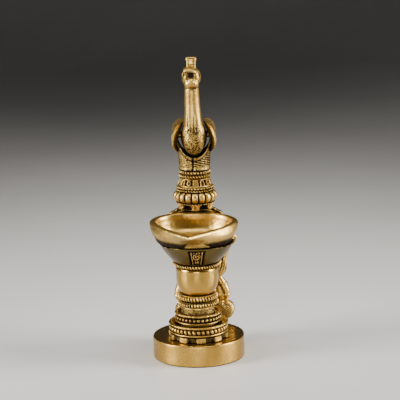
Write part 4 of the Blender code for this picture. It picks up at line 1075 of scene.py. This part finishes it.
def bird_parts():
    """The bird's masses: body, breast, neck, head, brow, beak, chin and a raised tail. Rows are x, y, z
    and radius."""
    y, z, neck_z, head_y, head_z = bird_frame()
    top = head_z - neck_z
    lean = BIRD_LEAN
    neck = [
        (0, y - 0.0042, neck_z - 0.0060, 0.0070),
        (lean * 0.3, y - 0.0064, neck_z + 0.0030, 0.0056),
        (lean * 0.6, head_y + 0.0012, neck_z + top * 0.33, 0.0048),
        (lean * 0.9, head_y + 0.0008, neck_z + top * 0.60, 0.00445),
        (lean, head_y + 0.0004, neck_z + top * 0.82, 0.0042),
        (lean, head_y, head_z, 0.0042),
    ]
    brow = (lean - 0.0006, head_y - 0.0042, head_z + 0.0040)
    beak = [
        (lean, head_y - 0.0040, head_z + 0.0006, 0.0036),
        (lean, head_y - 0.0080, head_z - 0.0008, 0.0028),
        (lean, head_y - 0.0110, head_z - 0.0026, 0.0016),
    ]
    tail = [
        (0, y + 0.0050, z + 0.0010, 0.0060),
        (0, y + 0.0120, z + 0.0030, 0.0048),
        (0, y + 0.0172, z + 0.0070, 0.0034),
        (0, y + 0.0196, z + 0.0100, 0.0022),
    ]
    body = (BODY_HALF_WIDTH, 0.0125, BODY_HALF_HEIGHT)
    return [
        orb((0, y, z), body, tilt=radians(8), rows=40, columns=56),
        orb((0, y - 0.0066, z + 0.0020), (0.0070, 0.0062, 0.0095)),
        orb((0, y - 0.0082, z - 0.0012), (0.0062, 0.0056, 0.0088)),
        limb(neck, 80, 36, squareness=16),
        orb((lean, head_y + 0.0002, head_z - 0.0002), (0.0057, 0.0064, 0.0061), rows=30, columns=40),
        orb(brow, (0.0043, 0.0040, 0.0019), tilt=radians(18), lean=radians(10)),
        limb(beak, 40, 24, flat=0.75),
        orb((lean, head_y - 0.0030, head_z - 0.0034), (0.0044, 0.0040, 0.0026)),
        limb(tail, 50, 28, flat=0.62),
    ]


def bird_shape(voxel):
    """The bird fused, then chased. The neck has upright grooves and a ring, the breast has scales set point
    down with fine strokes along them, the head has a deep mouth and an eye each side, and the tail has long
    feathers."""
    y, z, neck_z, head_y, head_z = bird_frame()
    points, faces, normal = fused(bird_parts(), voxel, 3)
    px, py, pz = points.T
    ahead = step(-normal[:, 1], 0.1, 0.5)
    grooves = sum(np.exp(-(((px - at) / 0.00028) ** 2)) for at in (-0.0034, -0.0019, 0.0001, 0.0019))
    grooves = grooves * between(pz, neck_z - 0.002, neck_z + 0.0085, 0.002) * ahead
    ring = np.exp(-(((pz - (head_z - 0.0066)) / 0.0004) ** 2)) * (np.hypot(px, py - head_y) < 0.0062)
    drift = 0.00025 * wander(points, 260, 5)
    row = (z + 0.0105 - pz + drift) / 0.0027
    half = np.floor(row) % 2 * 0.5
    cell = ((px + drift) / 0.0034 + half) % 1 - 0.5
    scale = np.abs(np.abs(cell * 2) + (row % 1) * 0.9 - 0.9)
    field = between(pz, z - 0.0085, z + 0.0068, 0.0020)
    lines = np.exp(-((scale / 0.13) ** 2)) * field * ahead
    veins = ripple((pz - np.abs(cell) * 0.0060) * TAU / 0.0011) * field
    gape_x, gape_z = (px - BIRD_LEAN + 0.0008) / 0.0030, (pz - head_z - 0.0022 + px * 0.10) / 0.0015
    mouth = np.exp(-(gape_x**2) - gape_z**2) * (py < head_y - 0.0010)
    eyes = sum(
        np.exp(-(np.hypot(py - head_y + 0.0022, pz - head_z - 0.0012) / 0.0010) ** 2) * (px * side > 0.002)
        for side in (-1, 1)
    )
    tail = step(py, y + 0.0085, y + 0.0105)
    feathers = ripple(px * TAU / 0.0015) * tail
    push = -0.00022 * grooves - 0.0004 * ring - 0.00014 * lines - 0.0018 * mouth - 0.0007 * eyes
    push = push - 0.00016 * veins * ahead - 0.0003 * (tail - feathers)
    hollow = 0.7 * grooves + 0.7 * ring + 0.30 * lines + 1.4 * mouth + eyes
    hollow = hollow + (0.52 * veins + 0.08 * field) * ahead
    hollow = hollow + 0.7 * (tail - feathers)
    return points + normal * push[:, None], faces, hollow


def wing_shape(side):
    """A crescent wing. Along it, s from -1 to 1 closes both ends by (1 - s^2)^0.8. Across it, an outer arc
    round the body and an inner one meet at the tips. Long feathers are grooves of constant arc angle."""
    y, z, *_ = bird_frame()
    _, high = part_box("wing_right")
    spread = high.x
    rows, half = 120, 60
    s = -np.cos(np.linspace(0, np.pi, rows))[:, None]
    reach = np.clip(1 - s * s, 0, 1) ** 0.55
    t = np.linspace(-1, 1, half)[None, :]
    centre, top, foot = radians(4), radians(70), radians(-54)
    swing = np.where(t > 0, top - centre, centre - foot) * t * reach + centre
    rise = 0.0012 * np.clip(s, 0, None) ** 1.5
    thick = (0.0040 + 0.0008 * np.clip(t, -1, 1)) * (1 - np.abs(t) ** 2.6) ** 0.7 * reach

    def arc(inset, angle):
        """x and z on the arc round the body, this far inside the wing's outer face."""
        height = z - 0.0004 + (0.0111 - inset) * np.sin(angle) + rise
        return side * (spread - inset) * np.cos(angle) ** 0.8, height

    feather = np.abs(np.cos(t * 8.5 + s * 1.5))
    groove = (1 - feather) ** 2 * (np.abs(t) < 0.93)
    outer_x, outer_z = arc(groove * 0.00035, swing)
    inner_x, inner_z = arc(thick[:, ::-1], swing[:, ::-1])
    inner_x, inner_z = inner_x[:, 1:-1], inner_z[:, 1:-1]
    x = np.concatenate([outer_x, inner_x], axis=1)
    height = np.concatenate([outer_z, inner_z], axis=1)
    points = np.stack([x, y + 0.002 + 0.013 * s + 0 * x, height], -1)
    barbs = ripple(s * 95 + t * 6) * 0.25
    hollow = np.concatenate([groove * 0.75 + barbs * (s > -0.3), 0 * inner_x + 0.2], axis=1)
    lug = [(side * 0.0068, y + 0.002, z + 0.0010, 0.0020), (side * 0.0112, y + 0.002, z + 0.0010, 0.0022)]
    return joined([skin(points, hollow, close_rows=False), limb(lug, 20, 20)])


def crest_shape():
    """The crest: a tab with rounded corners, narrower at its waist, with a groove down each edge.

    Its rings are rounded rectangles whose half width is a smooth curve of the height."""
    low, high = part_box("crest_tab")
    rows, columns = 60, 72
    t = np.linspace(0, 1, rows)[:, None]
    half = np.interp(t, [0, 0.25, 0.5, 0.8, 0.93, 1], [0.90, 0.86, 0.90, 1.0, 0.93, 0.72]) * high.x
    depth = np.interp(t, [0, 0.8, 0.95, 1], [0.95, 1.0, 0.8, 0.5]) * (high.y - low.y) / 2
    a = angles(columns)[None, :]
    corner = 3.4
    square = (np.abs(np.cos(a)) ** corner + np.abs(np.sin(a)) ** corner) ** (-1 / corner)
    x = half * square * np.sin(a)
    y = -depth * square * np.cos(a)
    wave = hump(np.abs(x), high.x * 0.45, 0.0005) * (np.abs(np.cos(a)) > 0.3) * (1 - step(t, 0.7, 0.85))
    cross = hump(t, 0.34, 0.05)
    y = y * (1 - 0.12 * wave - 0.12 * cross)
    sunk = low.z - 0.0012
    points = np.stack([x - 0.0005, y + (low.y + high.y) / 2, sunk + (high.z - sunk) * t + 0 * x], -1)
    hollow = np.clip(wave * 0.6 + cross * 0.5, 0, 1)
    return capped(points, hollow)


# ---------------------------------------------------------------- settings


def length_of(name, description, default):
    """A length in metres, for a settings group."""
    return bpy.props.FloatProperty(name=name, description=description, default=default, unit="LENGTH")


def angle_of(name, description, default):
    """An angle in radians, for a settings group."""
    return bpy.props.FloatProperty(name=name, description=description, default=default, subtype="ANGLE")


def share_of(name, description, default):
    """A plain number, for a settings group."""
    return bpy.props.FloatProperty(name=name, description=description, default=default, subtype="FACTOR")


def power_of(name, description, default):
    """A light's power in watts, for a settings group."""
    return bpy.props.FloatProperty(name=name, description=description, default=default, unit="POWER")


def colour_of(name, description, default):
    """A colour, for a settings group."""
    return bpy.props.FloatVectorProperty(name=name, description=description, default=default, subtype="COLOR")


class OilLampSettings(bpy.types.PropertyGroup):
    """Sizes and colours of the lamp."""

    bowl_half_width: length_of("Bowl half width", "Half of the oil bowl's width", 0.0259)
    bowl_back: length_of("Bowl back", "From the stem's axis to the back of the bowl", 0.0185)
    bowl_spout: length_of("Spout reach", "From the stem's axis to the spout's tip", 0.0342)
    bowl_height: length_of("Bowl height", "Height of the bowl over its hull's foot", 0.0141)
    bowl_floor: length_of("Bowl foot", "Height of the hull's foot", BOWL_LOW.z + 0.0064)
    bowl_wall: length_of("Bowl wall", "Thickness of the bowl's wall", 0.0026)
    bowl_dip: share_of("Bowl dip", "How much the rim falls towards the spout, as a slope", 0.055)
    bowl_turn: angle_of("Bowl turn", "How far the bowl is turned on the stem", radians(-5))
    swell: length_of("Hand finish", "Depth of the slow waves in the surfaces", 0.00008)
    voxel: length_of("Casting detail", "Mesh size of the bird and the figure", 0.00034)
    bright_brass: colour_of("Bright brass", "Colour of rubbed brass", (0.60, 0.390, 0.100))
    warm_brass: colour_of("Warm brass", "Colour of tarnished brass", (0.31, 0.155, 0.028))
    # The dim brass paints the cup's shade as a darkened copy of the brass; the fixings take it too.
    dim_brass: colour_of("Dim brass", "Colour of the shaded cup", (0.110, 0.077, 0.023))
    # The dark colour paints the oxide in the hollows and also the painted shade, where nearby surfaces block
    # the light and on the bowl's underside.
    patina_and_shade_colour: colour_of("Patina", "Colour of the dark hollows", (0.012, 0.006, 0.002))


class OilLampStageSettings(bpy.types.PropertyGroup):
    """Camera, lights and floor."""

    distance: length_of("Camera distance", "Camera's distance ahead of the lamp", 1.030)
    height: length_of("Camera height", "Camera's height over the floor", 0.324)
    aside: length_of("Camera aside", "Camera's distance to the right", 0.0027)
    pitch: angle_of("Camera pitch", "How far the camera looks down", radians(12.6))
    roll: angle_of("Camera roll", "How far the camera is rolled", radians(1.45))
    lens: bpy.props.FloatProperty(
        name="Lens", description="Focal length in millimetres", default=162.9, unit="CAMERA"
    )
    floor_colour: colour_of("Floor", "Colour of the floor", (0.62, 0.605, 0.58))
    side_light: power_of("Side light", "Power of each softbox", 4.2)
    top_light: power_of("Top light", "Power of the top light", 1.6)
    front_light: power_of("Front light", "Power of the low front light", 0.35)
    surround: share_of("Surround", "Brightness of the room round the lamp", 0.055)


# ---------------------------------------------------------------- operators


def chased(name, shape, body, node, swell=0.0, kind="chased"):
    """A piece in dark chased brass that stands for one CAD node."""
    piece(name, shape, body, [node], finish(kind), swell)


class LampOperator:
    """What the lamp's operators share."""

    bl_options = {"REGISTER", "UNDO"}


class OILLAMP_OT_base(LampOperator, bpy.types.Operator):
    """Make the turned base disc and the block foot on it"""

    bl_idname = "oil_lamp.base"
    bl_label = "Base and foot"

    def execute(self, context):
        swell = context.scene.oil_lamp.swell
        coat = finish("turned")
        piece("turned_base", base_shape(), "stand", ["base_disc"], coat, swell * 0.5)
        chased("block_foot", foot_shape(), "stand", "pedestal_foot", swell * 0.5)
        return {"FINISHED"}


class OILLAMP_OT_tiers(LampOperator, bpy.types.Operator):
    """Make the two chased tiers of the stem"""

    bl_idname = "oil_lamp.tiers"
    bl_label = "Tiers"

    def execute(self, context):
        swell = context.scene.oil_lamp.swell
        lower = tier_shape("tier_lower", strokes=40, slant=2.6, hub=0.0)
        chased("leaf_tier", lower, "stand", "tier_lower", swell)
        upper = tier_shape("tier_upper", strokes=34, slant=0.0, hub=0.0016)
        chased("bead_tier", upper, "stand", "tier_upper", swell)
        return {"FINISHED"}


class OILLAMP_OT_rings(LampOperator, bpy.types.Operator):
    """Make the ridged rings and the rope ring of the stem"""

    bl_idname = "oil_lamp.rings"
    bl_label = "Ridged and rope rings"

    def execute(self, context):
        swell = context.scene.oil_lamp.swell * 0.6
        lower = ring_shape("ring_lower", ridges=44, neck=0.0031, slant=1.2)
        chased("ridged_ring_lower", lower, "stand", "ring_lower", swell)
        upper = ring_shape("ring_upper", ridges=40, neck=0.0, slant=1.6)
        chased("ridged_ring_upper", upper, "stand", "ring_upper", swell)
        chased("twisted_rope_ring", rope_shape(), "stand", "rope_ring", swell)
        return {"FINISHED"}


class OILLAMP_OT_pot(LampOperator, bpy.types.Operator):
    """Make the smooth pot of the stem"""

    bl_idname = "oil_lamp.pot"
    bl_label = "Pot"

    def execute(self, context):
        swell = context.scene.oil_lamp.swell * 0.7
        piece("smooth_pot", pot_shape(), "stand", ["pot_stem"], finish("satin"), swell)
        return {"FINISHED"}


class OILLAMP_OT_cup(LampOperator, bpy.types.Operator):
    """Make the cup under the bowl and the niche panel in its front"""

    bl_idname = "oil_lamp.cup"
    bl_label = "Cup and niche panel"

    def execute(self, context):
        swell = context.scene.oil_lamp.swell * 0.6
        piece("scalloped_cup", cup_shape(), "stand", ["lotus_cup"], finish("cup"), swell)
        chased("chased_niche", panel_shape(), "stand", "niche_panel")
        return {"FINISHED"}


class OILLAMP_OT_bowl(LampOperator, bpy.types.Operator):
    """Make the leaf-shaped oil bowl"""

    bl_idname = "oil_lamp.bowl"
    bl_label = "Oil bowl"

    def execute(self, context):
        sizes = context.scene.oil_lamp
        shape = bowl_shape(sizes)
        piece("leaf_oil_bowl", shape, "stand", ["oil_bowl"], finish("bowl"), sizes.swell)
        return {"FINISHED"}


class OILLAMP_OT_plate(LampOperator, bpy.types.Operator):
    """Make the arched back plate"""

    bl_idname = "oil_lamp.plate"
    bl_label = "Back plate"

    def execute(self, context):
        chased("arched_plate", plate_shape(), "stand", "back_plate")
        return {"FINISHED"}


class OILLAMP_OT_figure(LampOperator, bpy.types.Operator):
    """Make the seated figure behind the plate"""

    bl_idname = "oil_lamp.figure"
    bl_label = "Seated figure"

    def execute(self, context):
        shape = figure_shape(context.scene.oil_lamp.voxel)
        chased("elephant_headed_figure", shape, "stand", "seated_figure")
        return {"FINISHED"}


class OILLAMP_OT_knop(LampOperator, bpy.types.Operator):
    """Make the arched capital and the ribbed knop of the column"""

    bl_idname = "oil_lamp.knop"
    bl_label = "Capital and knop"

    def execute(self, context):
        swell = context.scene.oil_lamp.swell * 0.6
        chased("arched_capital", petal_shape(), "knop", "petal_cup", swell)
        chased("ribbed_knop", knop_shape(), "knop", "amla_knop", swell)
        return {"FINISHED"}


class OILLAMP_OT_bands(LampOperator, bpy.types.Operator):
    """Make the drum and the band above and below it"""

    bl_idname = "oil_lamp.bands"
    bl_label = "Drum and bands"

    def execute(self, context):
        swell = context.scene.oil_lamp.swell * 0.6
        lower = band_shape("band_lower", dots=36, twist=44)
        chased("moulded_band_lower", lower, "finial", "band_lower", swell)
        chased("panelled_drum", drum_shape(), "finial", "niche_drum", swell)
        upper = band_shape("band_upper", dots=30, twist=34)
        chased("moulded_band_upper", upper, "finial", "band_upper", swell)
        return {"FINISHED"}


class OILLAMP_OT_cradle(LampOperator, bpy.types.Operator):
    """Make the two leaves of the bird's cradle"""

    bl_idname = "oil_lamp.cradle"
    bl_label = "Cradle"

    def execute(self, context):
        for side, name in SIDES:
            chased("cradle_leaf_" + name, cradle_shape(side), "finial", "cradle_" + name, SMALL_SWELL, "bird")
        return {"FINISHED"}


class OILLAMP_OT_bird(LampOperator, bpy.types.Operator):
    """Make the long-necked bird"""

    bl_idname = "oil_lamp.bird"
    bl_label = "Bird"

    def execute(self, context):
        shape = bird_shape(context.scene.oil_lamp.voxel)
        chased("long_necked_bird", shape, "finial", "bird_body", kind="bird")
        return {"FINISHED"}


class OILLAMP_OT_wings(LampOperator, bpy.types.Operator):
    """Make the bird's wings"""

    bl_idname = "oil_lamp.wings"
    bl_label = "Wings"

    def execute(self, context):
        for side, name in SIDES:
            chased("crescent_wing_" + name, wing_shape(side), "finial", "wing_" + name, SMALL_SWELL)
        return {"FINISHED"}


class OILLAMP_OT_crest(LampOperator, bpy.types.Operator):
    """Make the crest on the bird's head"""

    bl_idname = "oil_lamp.crest"
    bl_label = "Crest"

    def execute(self, context):
        chased("crest_plume", crest_shape(), "finial", "crest_tab", 0.00006, "bird")
        return {"FINISHED"}


class OILLAMP_OT_fixings(LampOperator, bpy.types.Operator):
    """Give the screws, rivets, stud and dowel their plain brass"""

    bl_idname = "oil_lamp.fixings"
    bl_label = "Fixings"

    def execute(self, context):
        slots = {part["node"]: part["material_slot"] for part in frame["record"]["subparts"]}
        for node, made in frame["nodes"].items():
            if slots[node] == "plain_brass":
                made.data.materials.clear()
                made.data.materials.append(finish("fixing"))
        return {"FINISHED"}


class OILLAMP_OT_stage(LampOperator, bpy.types.Operator):
    """Make the floor, the lights and the camera"""

    bl_idname = "oil_lamp.stage"
    bl_label = "Stage"

    def execute(self, context):
        stage = context.scene.oil_lamp_stage
        make_floor(stage)
        make_lights(stage)
        make_camera(stage)
        return {"FINISHED"}


PIECE_OPERATORS = (
    OILLAMP_OT_base,
    OILLAMP_OT_tiers,
    OILLAMP_OT_rings,
    OILLAMP_OT_pot,
    OILLAMP_OT_cup,
    OILLAMP_OT_bowl,
    OILLAMP_OT_plate,
    OILLAMP_OT_figure,
    OILLAMP_OT_knop,
    OILLAMP_OT_bands,
    OILLAMP_OT_cradle,
    OILLAMP_OT_bird,
    OILLAMP_OT_wings,
    OILLAMP_OT_crest,
    OILLAMP_OT_fixings,
    OILLAMP_OT_stage,
)


# ---------------------------------------------------------------- stage


def make_floor(stage):
    """A pale sheet: flat round the lamp, then swept up behind it. At a distance d past the bend's start,
    its height is the bend's radius times (1 - cos(d / radius)), up to a right angle."""
    along = np.linspace(-2.0, 4.0, 160)[:, None]
    across = np.linspace(-2.5, 2.5, 24)[None, :]
    start, radius = 1.2, 0.7
    turn = np.clip((along - start) / radius, 0, np.pi / 2)
    y = np.minimum(along, start) + radius * np.sin(turn)
    z = radius * (1 - np.cos(turn)) + np.clip(along - start - radius * np.pi / 2, 0, None)
    grid = np.stack([across + 0 * along, y + 0 * across, z + 0 * across], -1)
    mesh = bpy.data.meshes.new("pale_floor")
    faces = quads(*grid.shape[:2], False, False)
    mesh.from_pydata(grid.reshape(-1, 3), [], faces.tolist())
    mesh.shade_smooth()
    recipe = Recipe("pale_floor_paint")
    place = recipe.add("ShaderNodeTexCoord", out="Object")
    pale = tuple(stage.floor_colour)
    shade = tuple(0.94 * c for c in pale)
    speck = recipe.noise(place, 900, 2.0)
    drift = recipe.noise(place, 6, 3.0).step(0.3, 0.7)
    recipe.fill(recipe.shader, {"Base Color": drift.paint(pale, shade), "Roughness": 0.42 + speck * 0.12})
    mesh.materials.append(recipe.material)
    floor = bpy.data.objects.new("pale_floor", mesh)
    bpy.context.scene.collection.objects.link(floor)


def soft_light(name, place, size, power, colour, aim=0.09):
    """An area light that faces a point on the lamp's axis at the given height."""
    lamp = bpy.data.lights.new(name, "AREA")
    lamp.shape = "RECTANGLE"
    lamp.size, lamp.size_y = size
    lamp.energy = power
    lamp.spread = radians(80)
    lamp.color = colour
    made = bpy.data.objects.new(name, lamp)
    bpy.context.scene.collection.objects.link(made)
    towards = Vector((0, 0, aim)) - Vector(place)
    made.matrix_world = Matrix.Translation(place) @ towards.to_track_quat("-Z", "Y").to_matrix().to_4x4()


def make_lights(stage):
    """Two tall softboxes beside the lamp, a low one in front, a broad one above and a grey room round it."""
    tall, warm = (0.34, 0.80), (1.0, 0.98, 0.94)
    soft_light("softbox_left", (-0.70, -0.20, 0.36), tall, stage.side_light, warm, 0.16)
    soft_light("softbox_right", (0.70, -0.08, 0.36), tall, stage.side_light, warm, 0.16)
    soft_light("front_fill", (-0.03, -0.66, 0.055), (0.30, 0.10), stage.front_light, (1.0, 0.98, 0.95), 0.15)
    soft_light("top_softbox", (0.0, -0.10, 0.95), (0.7, 0.6), stage.top_light, (1.0, 0.99, 0.97))
    world = bpy.data.worlds.new("grey_room")
    world.use_nodes = True
    room = world.node_tree.nodes["Background"].inputs
    room["Color"].default_value = (1.0, 0.99, 0.97, 1)
    room["Strength"].default_value = stage.surround
    bpy.context.scene.world = world


def make_camera(stage):
    """A long lens ahead of the lamp and above it, looking slightly down."""
    data = bpy.data.cameras.new("camera")
    data.sensor_width = 36
    data.lens = stage.lens
    data.clip_end = 20
    camera = bpy.data.objects.new("camera", data)
    bpy.context.scene.collection.objects.link(camera)
    place = Matrix.Translation((stage.aside, -stage.distance, stage.height))
    look = Matrix.Rotation(np.pi / 2 - stage.pitch, 4, "X")
    camera.matrix_world = place @ look @ Matrix.Rotation(-stage.roll, 4, "Z")
    bpy.context.scene.camera = camera


# ---------------------------------------------------------------- panel and registration


class OILLAMP_PT_sidebar(bpy.types.Panel):
    """Lists the lamp's pieces, sizes and colours"""

    bl_idname = "OILLAMP_PT_sidebar"
    bl_label = "Brass oil lamp"
    bl_space_type = "VIEW_3D"
    bl_region_type = "UI"
    bl_category = "Oil Lamp"

    def draw(self, context):
        for operator in PIECE_OPERATORS:
            self.layout.operator(operator.bl_idname)
        for group in (context.scene.oil_lamp, context.scene.oil_lamp_stage):
            for name in group.bl_rna.properties.keys():
                if name not in ("rna_type", "name"):
                    self.layout.prop(group, name)


CLASSES = (OilLampSettings, OilLampStageSettings, *PIECE_OPERATORS, OILLAMP_PT_sidebar)


def register():
    for cls in CLASSES:
        bpy.utils.register_class(cls)
    bpy.types.Scene.oil_lamp = bpy.props.PointerProperty(type=OilLampSettings)
    bpy.types.Scene.oil_lamp_stage = bpy.props.PointerProperty(type=OilLampStageSettings)


def unregister():
    del bpy.types.Scene.oil_lamp_stage
    del bpy.types.Scene.oil_lamp
    for cls in reversed(CLASSES):
        bpy.utils.unregister_class(cls)


def main():
    """Registers the classes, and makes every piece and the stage."""
    register()
    for operator in PIECE_OPERATORS:
        group, name = operator.bl_idname.split(".")
        getattr(getattr(bpy.ops, group), name)()
    bpy.context.view_layer.update()


if __name__ == "__main__":
    main()
